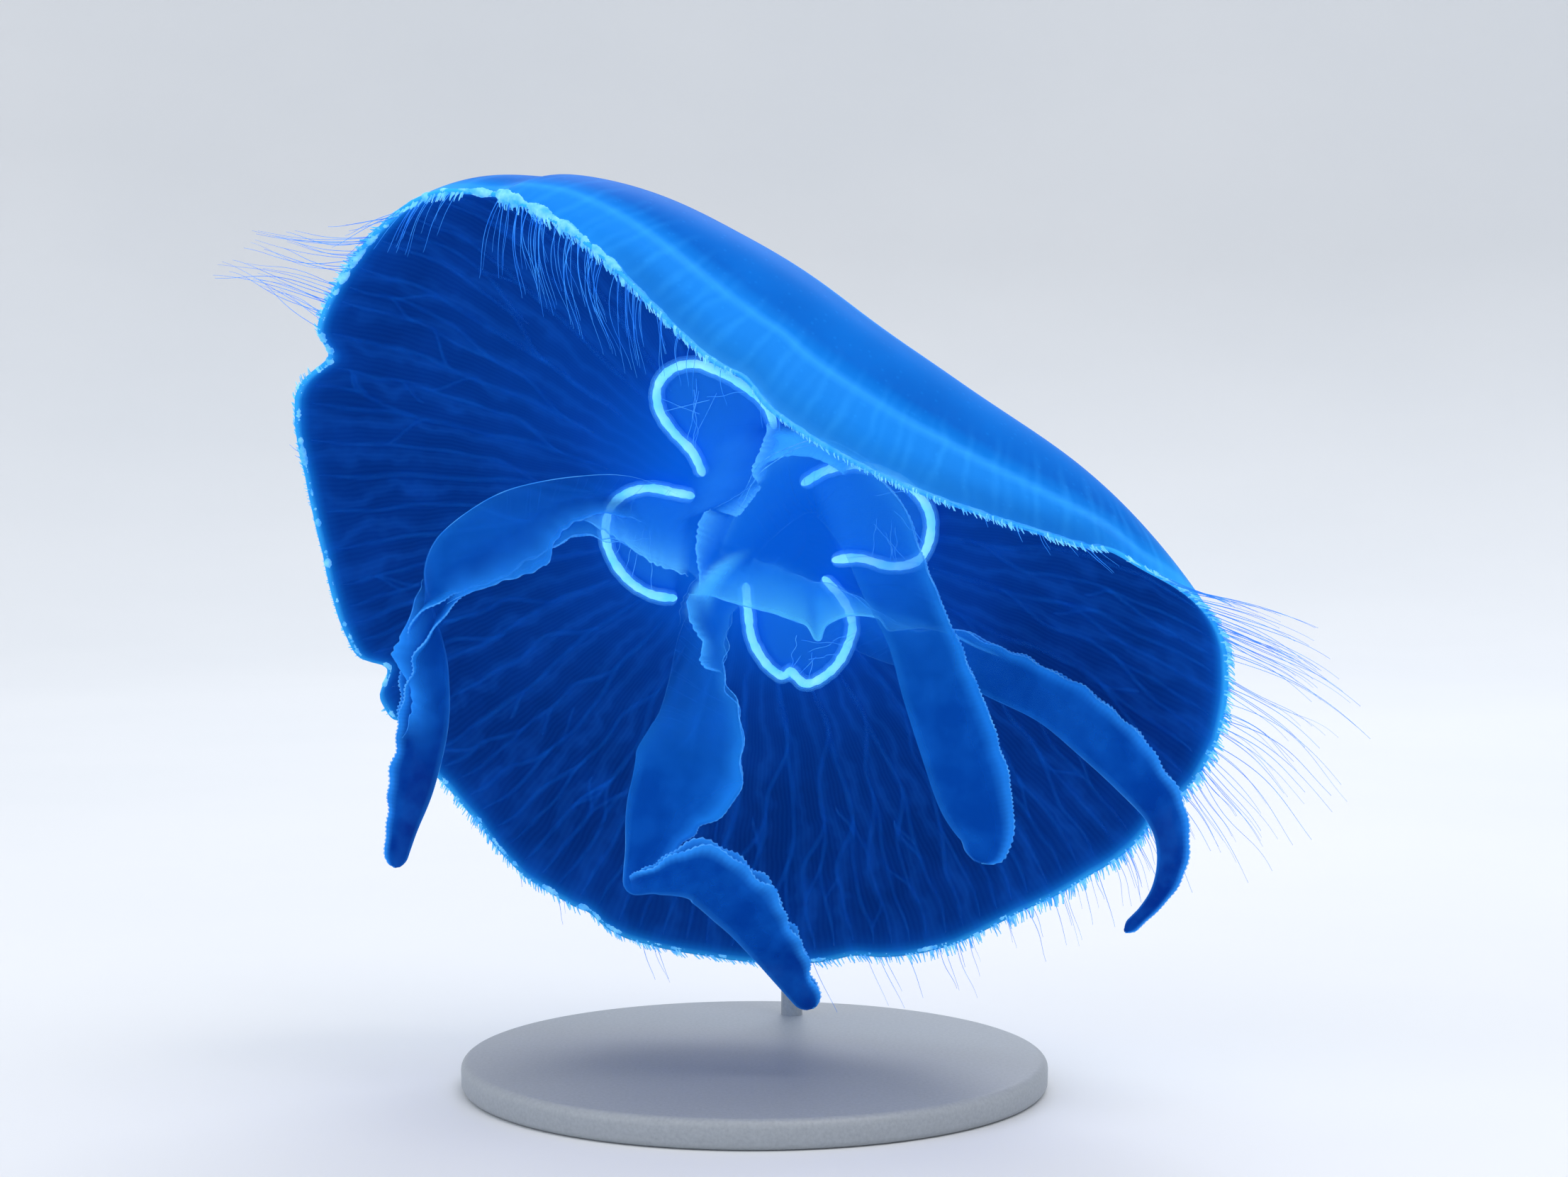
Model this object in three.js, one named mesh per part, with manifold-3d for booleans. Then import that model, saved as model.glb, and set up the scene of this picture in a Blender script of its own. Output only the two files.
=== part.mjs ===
// Moon jellyfish (Aurelia), life size, swimming on its side on a plain display stand.
//
// Units are millimetres and +Z is up. The origin is the centre of the underside of the stand's base.
// The animal is turned so that the viewer, who looks along +Y, sees into the hollow of the bell.
//
// The bell is worked out in a frame of its own: its pole (the centre of the hollow's roof) is the
// origin, +Z points along the bell's axis to the top of the animal, and angles run round that axis.
// A place on the bell is (s, phi): s is 0 at the pole and 1 at the margin, measured along the meridian.
import * as THREE from 'three';
import Module from 'manifold-3d';
import { mergeVertices } from 'three/addons/utils/BufferGeometryUtils.js';

const wasm = await Module();
wasm.setup();

// ---- Driving dimensions ---------------------------------------------------------------------

const CLEARANCE = 0.3; // left between neighbouring pieces

// Where the bell's pole sits, and how the bell is turned.
const POLE = new THREE.Vector3(0, -10, 150);
const HEADING = 20.8; // degrees that the axis points to the right of straight away from the viewer
const RISE = 26.1; // degrees that the axis points above the horizon
const SPIN = 36.8; // degrees that the bell is turned about its own axis

// Eight marginal lobes, counted round the bell. Each ends at a notch that holds a sense organ.
const NOTCH_ANGLES = [-3.5, 46.5, 81.5, 120, 174.5, 215, 260, 309];
const NOTCH_DEPTHS = [1.5, 1.5, 2.5, 4, 6, 6, 3, 3];
const LOBE_CENTRE = 17.5; // angle of the first value in the two lists below; the rest follow by 45
const LOBE_REACH = [127, 130, 123, 124, 130, 121, 121, 133]; // pole to margin, along the meridian
const LOBE_CURL = [-0.04, -0.04, 0.28, 0.28, 0.44, -0.08, 0.02, -0.04]; // extra turn at the margin, radians
const NOTCH_WIDTH = 3; // degrees to either side

// Section of the bell: the roof turns down towards the margin, and the jelly above it thins out.
const ROOF_TURN = 0.45; // radians between the pole and the margin
const ROOF_POWER = 1.7;
const CURL_START = 0.5; // where on the meridian the marginal curl begins
const JELLY_CENTRE = 17.3;
const JELLY_MARGIN = 1.2;
const JELLY_SWELL = [0, 0, 0, -0.6, 7.6, 0.2, -2.9, 2.4]; // more or less jelly towards each lobe
const JELLY_POWER = 3;
const LOBE_START = 0.74; // where on the meridian the dome ends and the lobes begin
const DOME_PLACES = [0, 0.1, 0.22, 0.34, 0.46, 0.56, 0.65, LOBE_START];
const LOBE_PLACES = [0.8, 0.86, 0.92, 0.97, 1];
const CUT_ANGLE = 0.1; // degrees from a notch to the lobe's own edge
const NOTCH_STEPS = [CUT_ANGLE, 2.5, 6]; // degrees from a notch, where the edge turns

// The side nearest the viewer is folded inwards about a bowed line that runs across the bell.
const FOLD_SIDE = 268.5; // angle of the folded side
const FOLD_START = 43; // from the pole to the middle of the line
const FOLD_RUN = 64; // length of jelly over which it turns
const FOLD_TURN = 1.56; // radians
const FOLD_EASE = 16.4; // how gently the fold begins and ends
const FOLD_BOW = 12.8; // how far the line bows outwards at 100 mm to either side
const FOLD_LEVEL = -4.1; // height in the bell that keeps its length

// Four horseshoe gonads under the roof, open towards the mouth. Rows are places along each tube:
// millimetres from the axis towards the gonad's own side, and across.
const GONAD_ANGLE = 45; // side of the first; the others follow by 90
const GONADS = [
  [[15.7, 6.7], [23.7, 8.8], [31.6, 10.9], [39.4, 8.8], [43.3, 3.3], [47, -1.2], [44.5, -8.9],
    [39.5, -15.4], [32.2, -19], [24.1, -18.2], [16.3, -15.6]],
  [[12.8, 11.4], [18.3, 13.4], [24.5, 15.5], [30.9, 15.1], [36.6, 12.1], [40.3, 6.9], [42, 0.7],
    [41.4, -5.7], [38.7, -11.6], [33.8, -15.8], [27.6, -17.6]],
  [[17, -8.3], [24.1, -9], [30.6, -12.2], [37.6, -13.9], [44.4, -11.8], [48.8, -6.2], [49.6, 0.9],
    [46.3, 7.1], [41.2, 12.3], [35.3, 16.2], [28.1, 16.1]],
  [[18.2, -11.1], [25.9, -14.3], [33.9, -15.3], [42, -13.1], [48.4, -7.9], [51.2, -0.3], [49, 7.7],
    [43.6, 14], [35.5, 15], [27.6, 11.9], [19.7, 11.7]],
];
const GONAD_TUBE = 1.8;
const GONAD_DROP = GONAD_TUBE + CLEARANCE + 0.15; // from the roof to the middle of the tube

// The mouth: a short stalk with a ridge towards each oral arm. Rows are height, radius, ridge.
const ARM_ANGLE = -2;
const MOUTH_PROFILE = [
  [-0.6, 13.5, 0], [-4, 10, 0.4], [-12, 9, 1.5], [-20, 10.5, 2.2], [-26, 8.5, 2.5], [-28, 5, 1.2],
];

// Oral arms. Each is a gutter: a smooth rib on one edge and two lips on the other. Rows are the
// middle of the gutter from the pole (right, away, up), half its width, and its roll in degrees.
// `cuts` are the rows where the arm is parted into its root, middle and tip.
const ARMS = {
  oral_arm_1: {
    cuts: [5, 10],
    rows: [
      [-3, -20, -10, 5, 0], [-9, -20, -8, 6, 0], [-19, -22, -1, 8.2, 0], [-32, -25, 5, 8.5, 0],
      [-45, -27, 6, 7.5, 0], [-58, -26, 2, 9, 0], [-67, -25, -3, 9.3, 0], [-75, -23, -8, 8, 5],
      [-80, -21, -14, 6.2, 35], [-83, -19, -23, 5.6, 95], [-84, -17, -37, 6, 150],
      [-85, -16, -51, 6.2, 175], [-88, -15, -66, 5.6, 180], [-91, -13, -78, 3.8, 180],
      [-93, -13, -88, 1, 180],
    ],
  },
  oral_arm_2: {
    cuts: [4, 8],
    rows: [
      [-5, -20, -10, 4.5, 0], [-9, -21, -18, 5.2, 0], [-13, -26, -28, 6, 0], [-14, -31, -39, 7.5, 0],
      [-14, -34, -50, 11.5, 0], [-17, -35, -61, 13.5, 0], [-23, -36, -71, 9.5, 0],
      [-27, -38, -80, 5.5, -10], [-30, -41, -88, 2.4, -20], [-24, -47, -86, 3.8, 0],
      [-13, -44, -85, 7.3, 0], [-3, -39, -93, 8, 0], [4, -34, -103, 6.5, 0],
      [10, -30, -113, 4.8, 0], [15, -28, -122, 1, 0],
    ],
  },
  oral_arm_3: {
    cuts: [4, 8],
    rows: [
      [-4, -22, -6, 5, 20], [0, -29, 1, 6, 20], [9, -39, 11, 8.5, 20], [19, -48, 13, 9, 10],
      [29, -51, 3, 9, 0], [35, -51, -11, 8.5, 0], [41, -51, -24, 8, 0], [46, -50, -38, 9, 0],
      [51, -49, -52, 9.5, 0], [55, -48, -65, 9, 0], [58, -46, -75, 6.5, 0], [57, -46, -82, 1.5, 0],
    ],
  },
  oral_arm_4: {
    cuts: [4, 8],
    rows: [
      [-2, -19, -12, 5, 0], [9, -19, -17, 5.6, 0], [22, -24, -22, 6.3, 0], [36, -28, -29, 5, 0],
      [51, -31, -31, 5.8, 0], [62, -33, -36, 6.3, 0], [75, -36, -42, 6.5, 0], [86, -40, -50, 7, 0],
      [96, -43, -60, 6.3, 0], [103, -44, -70, 4.8, 0], [105, -43, -80, 3.8, 0],
      [102, -40, -91, 2.3, 0], [94, -36, -101, 1, 0],
    ],
  },
};
const LIP_SPREAD = 0.42; // how far each lip stands off the gutter's middle, for each mm of half width
const LIP_THICKNESS = 0.22; // for each mm of half width
const LIP_THINNEST = 0.5;
const LIP_THICKEST = 1.6;
const ARM_PIECE_GAP = 0.06; // of a row, between two pieces of an arm
const ARM_STEPS = 1.4; // sections for each row

// A few of the margin's many fine tentacles, for each lobe: the way they trail (right, away, up),
// how far, and how far their ends sag.
const TENTACLES_PER_LOBE = 6;
const TENTACLE_WIDTH = 0.7;
const TENTACLE_ROOT = 0.985; // on the meridian
const TENTACLE_TRAIL = [
  { way: [0.55, 0.15, -0.85], length: 17, sag: 2 },
  { way: [0.15, 0.1, -1], length: 15, sag: 1 },
  { way: [-0.25, 0.1, -1], length: 10, sag: 1 },
  { way: [-1, 0.1, -0.3], length: 5, sag: 0 },
  { way: [-1, 0.05, 0.3], length: 24, sag: 2 },
  { way: [-0.15, -0.2, -1], length: 20, sag: 2 },
  { way: [0.2, -0.3, -1], length: 8, sag: 1 },
  { way: [1, 0.1, 0.15], length: 29, sag: 12 },
];

// Stand: a round base and one bent rod that enters the jelly from behind.
const BASE_RADIUS = 78;
const BASE_THICKNESS = 8;
const BASE_EDGE = 1.5;
const ROD_RADIUS = 3;
const ROD_FOOT = new THREE.Vector2(10, 56); // on the base
const ROD_SOCKET_FLOOR = 3; // height of the socket's floor in the base
const ROD_HEIGHT = 121; // of the level part
const ROD_BEND = 24;
const ROD_END = 19; // where the level part ends, measured away from the viewer

// ---- Shapes ---------------------------------------------------------------------------------

const radians = THREE.MathUtils.degToRad;

// Closed geometry from positions and triangles, with its faces turned outwards.
function closedGeometry(positions, triangles) {
  let geometry = new THREE.BufferGeometry();
  geometry.setAttribute('position', new THREE.Float32BufferAttribute(positions, 3));
  geometry.setIndex(triangles);
  geometry = mergeVertices(geometry, 1e-5);
  const old = Array.from(geometry.index.array);
  const index = [];
  for (let i = 0; i < old.length; i += 3) {
    const [a, b, c] = old.slice(i, i + 3);
    if (a !== b && b !== c && a !== c) index.push(a, b, c);
  }
  const at = (i) => new THREE.Vector3().fromBufferAttribute(geometry.attributes.position, i);
  let volume = 0;
  for (let i = 0; i < index.length; i += 3) {
    volume += at(index[i]).dot(at(index[i + 1]).cross(at(index[i + 2])));
  }
  geometry.setIndex(volume > 0 ? index : index.reverse());
  return geometry;
}

// Closed body through a row of rings that have the same number of points, capped at both ends.
function loft(rings) {
  const count = rings[0].length;
  const positions = rings.flat().flatMap((point) => point.toArray());
  const triangles = [];
  for (let row = 0; row + 1 < rings.length; row += 1) {
    for (let i = 0; i < count; i += 1) {
      const next = (i + 1) % count;
      const [a, b] = [row * count + i, row * count + next];
      triangles.push(a, b, b + count, a, b + count, a + count);
    }
  }
  for (const [row, turned] of [[0, true], [rings.length - 1, false]]) {
    for (const face of capFaces(rings[row])) {
      const corners = face.map((i) => row * count + i);
      triangles.push(...(turned ? corners.reverse() : corners));
    }
  }
  return closedGeometry(positions, triangles);
}

// Triangles that fill a flat ring, in the ring's own direction.
function capFaces(ring) {
  const normal = new THREE.Vector3();
  ring.forEach((point, i) => normal.add(point.clone().cross(ring[(i + 1) % ring.length])));
  const side = ring[1].clone().sub(ring[0]).normalize();
  const across = normal.normalize().clone().cross(side);
  const flat = ring.map((point) => new THREE.Vector2(point.dot(side), point.dot(across)));
  return THREE.ShapeUtils.triangulateShape(flat, []);
}

// Round bar of the given radius along a row of points.
function bar(points, radius, sides) {
  let side = null;
  return loft(points.map((point, i) => {
    const before = points[Math.max(i - 1, 0)];
    const after = points[Math.min(i + 1, points.length - 1)];
    const along = after.clone().sub(before).normalize();
    if (!side) side = Math.abs(along.z) < 0.9 ? new THREE.Vector3(0, 0, 1) : new THREE.Vector3(1, 0, 0);
    side = side.clone().addScaledVector(along, -side.dot(along)).normalize();
    const up = along.clone().cross(side);
    return Array.from({ length: sides }, (_, k) => {
      const turn = (2 * Math.PI * k) / sides;
      return point.clone()
        .addScaledVector(side, radius * Math.cos(turn))
        .addScaledVector(up, radius * Math.sin(turn));
    });
  }));
}

// Smooth curve through rows of numbers; `place` is a row number and may fall between two rows.
function between(rows, place, around = false) {
  const last = rows.length - 1;
  const start = around ? Math.floor(place) : Math.min(Math.floor(place), last - 1);
  const wrap = (i) => ((i % rows.length) + rows.length) % rows.length;
  const pick = (i) => rows[around ? wrap(i) : Math.min(Math.max(i, 0), last)];
  const [a, b, c, d] = [-1, 0, 1, 2].map((step) => [pick(start + step)].flat());
  const t = place - start;
  return b.map((value, k) => value + 0.5 * t * (c[k] - a[k]
    + t * (2 * a[k] - 5 * value + 4 * c[k] - d[k] + t * (3 * (value - c[k]) + d[k] - a[k]))));
}

const toSolid = (geometry) => {
  const bare = geometry.clone();
  bare.deleteAttribute('normal');
  bare.deleteAttribute('uv');
  const merged = mergeVertices(bare, 1e-5);
  return new wasm.Manifold(new wasm.Mesh({
    numProp: 3,
    vertProperties: new Float32Array(merged.attributes.position.array),
    triVerts: new Uint32Array(merged.index.array),
  }));
};

const toGeometry = (solid) => {
  const mesh = solid.getMesh();
  const geometry = new THREE.BufferGeometry();
  geometry.setAttribute('position', new THREE.BufferAttribute(new Float32Array(mesh.vertProperties), 3));
  geometry.setIndex(new THREE.BufferAttribute(new Uint32Array(mesh.triVerts), 1));
  return geometry;
};

const largestBody = (solid) => solid.decompose().reduce((a, b) => (a.volume() > b.volume() ? a : b));

// ---- The bell's surface ---------------------------------------------------------------------

const lobeValue = (list, phi) => between(list, (phi - LOBE_CENTRE) / 45, true)[0];

// How far the notches draw the margin in at this angle.
function notchDepth(phi) {
  return NOTCH_ANGLES.reduce((depth, notch, i) => {
    const away = ((((phi - notch + 180) % 360) + 360) % 360) - 180;
    return depth + NOTCH_DEPTHS[i] * Math.exp(-((away / NOTCH_WIDTH) ** 2));
  }, 0);
}

// Slope of the roof at s, from level at the pole.
function roofSlope(s, phi) {
  const curl = Math.max(0, (s - CURL_START) / (1 - CURL_START));
  return ROOF_TURN * s ** ROOF_POWER + lobeValue(LOBE_CURL, phi) * curl ** 2;
}

// The fold, as the path of its middle layer: distance from the pole -> turn, forward and down.
const FOLD_STEP = 0.5;
const foldPath = [];
{
  const logCosh = (x) => Math.abs(x) + Math.log1p(Math.exp(-2 * Math.abs(x)));
  const turnAt = (v) => (FOLD_TURN / FOLD_RUN) * 0.5 * (FOLD_RUN + FOLD_EASE * (
    logCosh((v - FOLD_START) / FOLD_EASE) - logCosh((v - FOLD_START - FOLD_RUN) / FOLD_EASE)));
  let [forward, down] = [-20, 0];
  for (let v = -20; v <= 160; v += FOLD_STEP) {
    const turn = turnAt(v);
    foldPath.push([turn, forward, down]);
    forward += FOLD_STEP * Math.cos(turn);
    down += FOLD_STEP * Math.sin(turn);
  }
}

function fold(point) {
  const side = radians(FOLD_SIDE);
  const out = point.x * Math.cos(side) + point.y * Math.sin(side);
  const across = -point.x * Math.sin(side) + point.y * Math.cos(side);
  const bow = FOLD_BOW * (across / 100) ** 2;
  const place = (out - bow + 20) / FOLD_STEP;
  if (place <= 0) return point;
  const [turn, forward, down] = between(foldPath, place);
  const height = point.z - FOLD_LEVEL;
  const folded = forward + height * Math.sin(turn) + bow;
  return new THREE.Vector3(
    folded * Math.cos(side) - across * Math.sin(side),
    folded * Math.sin(side) + across * Math.cos(side),
    FOLD_LEVEL - down + height * Math.cos(turn),
  );
}

// A point of the bell at (s, phi), `lift` of the way through the jelly: 0 is the roof of the hollow
// and 1 the outside. `hang` is a distance below the roof, for what hangs there.
function bellPoint(s, phi, lift, hang = 0) {
  const reach = lobeValue(LOBE_REACH, phi);
  const marginShare = THREE.MathUtils.smoothstep(s, LOBE_START, 1);
  const run = s - (notchDepth(phi) * marginShare) / reach;
  let [radius, height] = [0, 0];
  const steps = 40;
  for (let i = 0; i < steps; i += 1) {
    const slope = roofSlope((run * (i + 0.5)) / steps, phi);
    radius += (reach * run * Math.cos(slope)) / steps;
    height -= (reach * run * Math.sin(slope)) / steps;
  }
  const slope = roofSlope(run, phi);
  const thickness = JELLY_MARGIN + (JELLY_CENTRE - JELLY_MARGIN) * (1 - s ** JELLY_POWER)
    + lobeValue(JELLY_SWELL, phi) * 4 * s * (1 - s);
  const rise = thickness * lift - hang;
  radius += rise * Math.sin(slope);
  height += rise * Math.cos(slope);
  return fold(new THREE.Vector3(radius * Math.cos(radians(phi)), radius * Math.sin(radians(phi)), height));
}

// Closed piece of the bell between two rows of s and over a row of angles.
function bellPiece(places, angles, around) {
  const columns = angles.length;
  const positions = [];
  for (const lift of [0, 1]) {
    for (const s of places) {
      for (const phi of angles) positions.push(...bellPoint(s, phi, lift).toArray());
    }
  }
  const side = places.length * columns; // vertices on each of the two surfaces
  const triangles = [];
  const quad = (a, b, c, d) => triangles.push(a, b, c, a, c, d);
  const lastColumn = around ? columns : columns - 1;
  for (let row = 0; row + 1 < places.length; row += 1) {
    for (let i = 0; i < lastColumn; i += 1) {
      const next = (i + 1) % columns;
      const [a, b] = [row * columns + i, row * columns + next];
      quad(a, b, b + columns, a + columns);
      quad(side + b, side + a, side + a + columns, side + b + columns);
    }
  }
  const wall = (a, b) => quad(a, a + side, b + side, b);
  for (let i = 0; i < lastColumn; i += 1) {
    const next = (i + 1) % columns;
    // Parted in the same direction as the wall that it faces across the gap.
    quad(i + side, next + side, next, i);
    const outer = (places.length - 1) * columns;
    wall(outer + next, outer + i);
  }
  if (!around) {
    for (let row = 0; row + 1 < places.length; row += 1) {
      wall((row + 1) * columns, row * columns);
      wall(row * columns + columns - 1, (row + 1) * columns + columns - 1);
    }
  }
  return closedGeometry(positions, triangles);
}

// The angles of one lobe, closer together beside its notches.
function lobeAngles(lobe) {
  const start = NOTCH_ANGLES[lobe];
  const end = lobe + 1 < NOTCH_ANGLES.length ? NOTCH_ANGLES[lobe + 1] : NOTCH_ANGLES[0] + 360;
  const edge = NOTCH_STEPS[NOTCH_STEPS.length - 1];
  const [from, to] = [start + edge, end - edge];
  const middleSteps = 4;
  const step = (to - from) / middleSteps;
  const middle = Array.from({ length: middleSteps - 1 }, (_, i) => from + step * (i + 1));
  return [
    ...NOTCH_STEPS.map((away) => start + away), ...middle, ...NOTCH_STEPS.map((away) => end - away).reverse(),
  ];
}

// ---- Materials ------------------------------------------------------------------------------

const finish = (color, roughness, opacity = 1) => new THREE.MeshStandardMaterial({
  color, roughness, metalness: 0, opacity, transparent: opacity < 1,
});
const jelly = finish(0x2f7fe0, 0.15, 0.8);
const margin = finish(0x4f9cf2, 0.2, 0.85);
const gonadTissue = finish(0xb4f2ff, 0.35);
const armTissue = finish(0x3f8ff0, 0.25, 0.85);
const paintedSteel = new THREE.MeshStandardMaterial({ color: 0xa3a9af, roughness: 0.45, metalness: 0.3 });

function part(name, geometry, material) {
  const mesh = new THREE.Mesh(geometry, material);
  mesh.name = name;
  return mesh;
}

// ---- The animal -----------------------------------------------------------------------------

const placement = new THREE.Matrix4().makeRotationZ(-radians(HEADING))
  .multiply(new THREE.Matrix4().makeRotationX(-radians(90 - RISE)))
  .multiply(new THREE.Matrix4().makeRotationZ(radians(SPIN)))
  .setPosition(POLE);
const toBell = placement.clone().invert();
const wayInBell = (x, y, z) => new THREE.Vector3(x, y, z).transformDirection(toBell);

// The rod's line, from the foot up and forward into the jelly.
function rodPoints(from, to) {
  const points = [new THREE.Vector3(ROD_FOOT.x, ROD_FOOT.y, from)];
  const turns = 8;
  for (let i = 0; i <= turns; i += 1) {
    const turn = (Math.PI / 2) * (i / turns);
    points.push(new THREE.Vector3(
      ROD_FOOT.x,
      ROD_FOOT.y - ROD_BEND * (1 - Math.cos(turn)),
      ROD_HEIGHT - ROD_BEND * (1 - Math.sin(turn)),
    ));
  }
  points.push(new THREE.Vector3(ROD_FOOT.x, to, ROD_HEIGHT));
  return points;
}

function dome() {
  const angles = NOTCH_ANGLES.flatMap((notch, lobe) => [notch, ...lobeAngles(lobe).slice(1, -1)]);
  const body = bellPiece(DOME_PLACES, angles, true);
  const hole = bar(rodPoints(0, ROD_END - CLEARANCE), ROD_RADIUS + CLEARANCE, 16);
  return toGeometry(toSolid(body).subtract(toSolid(hole.applyMatrix4(toBell))));
}

function tentacle(lobe, phi) {
  const { way, length, sag } = TENTACLE_TRAIL[lobe];
  const root = bellPoint(TENTACLE_ROOT, phi, 0.5);
  const edge = bellPoint(1, phi, 0.5);
  const outwards = edge.clone().sub(root).normalize();
  const trail = wayInBell(...way);
  const down = wayInBell(0, 0, -1);
  const joints = 4;
  const bulge = 0.35; // how far it first runs straight on from the bell, for each mm of its length
  const points = [root, edge.clone().add(outwards)];
  for (let i = 1; i <= joints; i += 1) {
    const t = i / joints;
    points.push(points[1].clone()
      .addScaledVector(outwards, length * bulge * t * (1 - t))
      .addScaledVector(trail, length * t)
      .addScaledVector(down, sag * t * t));
  }
  return bar(points, TENTACLE_WIDTH / 2, 3);
}

function lobePiece(lobe) {
  const start = LOBE_START + CLEARANCE / LOBE_REACH[0];
  const angles = lobeAngles(lobe);
  let body = toSolid(bellPiece([start, ...LOBE_PLACES], angles, false));
  const [first, last] = [angles[0], angles[angles.length - 1]];
  const margin = 0.3; // of a tentacle's share of the edge, kept clear beside each notch
  for (let i = 0; i < TENTACLES_PER_LOBE; i += 1) {
    const share = (i + 0.5 + margin) / (TENTACLES_PER_LOBE + 2 * margin);
    body = body.add(toSolid(tentacle(lobe, first + (last - first) * share)));
  }
  return toGeometry(body);
}

// A horseshoe tube just under the roof. `side` is the angle it faces round the bell.
function gonad(rows, side) {
  const steps = 2 * (rows.length - 1);
  const points = Array.from({ length: steps + 1 }, (_, i) => {
    const [x, y] = between(rows, i / 2);
    const phi = side + THREE.MathUtils.radToDeg(Math.atan2(y, x));
    const s = Math.hypot(x, y) / lobeValue(LOBE_REACH, phi);
    return bellPoint(s, phi, 0, GONAD_DROP);
  });
  return bar(points, GONAD_TUBE, 6);
}

function mouth(grow = 0) {
  const last = MOUTH_PROFILE.length - 1;
  const count = 24;
  return loft(MOUTH_PROFILE.map(([height, radius, ridge], row) => (
    Array.from({ length: count }, (_, i) => {
      const phi = (360 * i) / count;
      const reach = radius + grow + ridge * Math.cos(4 * radians(phi - ARM_ANGLE));
      const z = height + (row === 0 ? grow : 0) - (row === last ? grow : 0);
      return new THREE.Vector3(reach * Math.cos(radians(phi)), reach * Math.sin(radians(phi)), z);
    })
  )));
}

// Section of an oral arm at a place between its rows.
function armSection(rows, place) {
  const [x, y, z, half, roll] = between(rows, place);
  const nudge = 0.05;
  const ahead = between(rows, Math.min(place + nudge, rows.length - 1));
  const behind = between(rows, Math.max(place - nudge, 0));
  const centre = new THREE.Vector3(x, y, z);
  const along = new THREE.Vector3(...[0, 1, 2].map((k) => ahead[k] - behind[k])).normalize();
  const away = new THREE.Vector3(0, 1, 0);
  const level = along.clone().cross(away).normalize();
  const lipward = level.multiplyScalar(Math.cos(radians(roll)))
    .addScaledVector(away, -Math.sin(radians(roll)));
  lipward.addScaledVector(along, -lipward.dot(along)).normalize();
  const outward = along.clone().cross(lipward);
  const spread = 0.3 + LIP_SPREAD * half;
  const middle = 0.62 * spread; // the gutter's sides are bowed, so they stand off further at mid width
  const thick = THREE.MathUtils.clamp(LIP_THICKNESS * half, LIP_THINNEST, LIP_THICKEST);
  const inside = Math.max(middle - 0.9 * thick, 0.05);
  const side = [[0, middle], [half, spread], [half - 0.2 * thick, spread - thick], [0, inside]];
  const otherSide = side.map(([a, b]) => [a, -b]).reverse();
  const outline = [[-half, 0], ...side, [-half + 1.2 * thick, 0], ...otherSide];
  return outline.map(([a, b]) => centre.clone().addScaledVector(lipward, a).addScaledVector(outward, b));
}

function armPiece(rows, from, to) {
  const steps = Math.max(3, Math.round((to - from) * ARM_STEPS));
  const places = Array.from({ length: steps + 1 }, (_, i) => from + ((to - from) * i) / steps);
  return loft(places.map((place) => armSection(rows, place)));
}

const model = new THREE.Group();

const bell = new THREE.Group();
bell.applyMatrix4(placement);
bell.add(part('bell_dome', dome(), jelly));
NOTCH_ANGLES.forEach((_, lobe) => bell.add(part(`bell_lobe_${lobe + 1}`, lobePiece(lobe), margin)));
GONADS.forEach((rows, i) => {
  bell.add(part(`gonad_${i + 1}`, gonad(rows, GONAD_ANGLE + 90 * i), gonadTissue));
});
bell.add(part('mouth', mouth(), armTissue));
model.add(bell);

const arms = new THREE.Group();
arms.position.copy(POLE);
const mouthInArms = toSolid(mouth(CLEARANCE).applyMatrix4(placement).translate(-POLE.x, -POLE.y, -POLE.z));
for (const [name, { rows, cuts }] of Object.entries(ARMS)) {
  const root = toSolid(armPiece(rows, 0, cuts[0] - ARM_PIECE_GAP));
  arms.add(part(`${name}_root`, toGeometry(largestBody(root.subtract(mouthInArms))), armTissue));
  arms.add(part(`${name}_middle`, armPiece(rows, cuts[0], cuts[1] - ARM_PIECE_GAP), armTissue));
  arms.add(part(`${name}_tip`, armPiece(rows, cuts[1], rows.length - 1), armTissue));
}
model.add(arms);

// ---- The stand ------------------------------------------------------------------------------

function base() {
  const edge = BASE_EDGE;
  const profile = [
    [0, 0], [BASE_RADIUS - edge, 0], [BASE_RADIUS, edge], [BASE_RADIUS, BASE_THICKNESS - edge],
    [BASE_RADIUS - edge, BASE_THICKNESS], [0, BASE_THICKNESS],
  ].map(([radius, height]) => new THREE.Vector2(radius, height));
  const disc = new THREE.LatheGeometry(profile, 48).rotateX(Math.PI / 2);
  const depth = BASE_THICKNESS;
  const socket = new THREE.CylinderGeometry(ROD_RADIUS + CLEARANCE, ROD_RADIUS + CLEARANCE, depth, 16)
    .rotateX(Math.PI / 2)
    .translate(ROD_FOOT.x, ROD_FOOT.y, ROD_SOCKET_FLOOR + depth / 2);
  return toGeometry(toSolid(disc).subtract(toSolid(socket)));
}

model.add(part('stand_base', base(), paintedSteel));
const rod = bar(rodPoints(ROD_SOCKET_FLOOR + CLEARANCE, ROD_END), ROD_RADIUS, 12);
model.add(part('stand_rod', rod, paintedSteel));

export default model;
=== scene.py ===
"""A moon jellyfish (Aurelia), life size, swimming on its side on a plain display stand.

Shapes are worked out in millimetres and turned to metres when a mesh is made. The frame's origin is the
centre of the underside of the stand's base, +Z is up, and the viewer looks along +Y into the bell's hollow.

The bell has a frame of its own: its pole (the middle of the hollow's roof) is the origin, +Z points to the
top of the animal, and angles run round that axis in degrees. A place on the bell is (s, phi): s is 0 at the
pole and 1 at the margin, measured along the meridian.
"""
import math

import bpy
import numpy as np
from mathutils import Matrix, Vector


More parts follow.
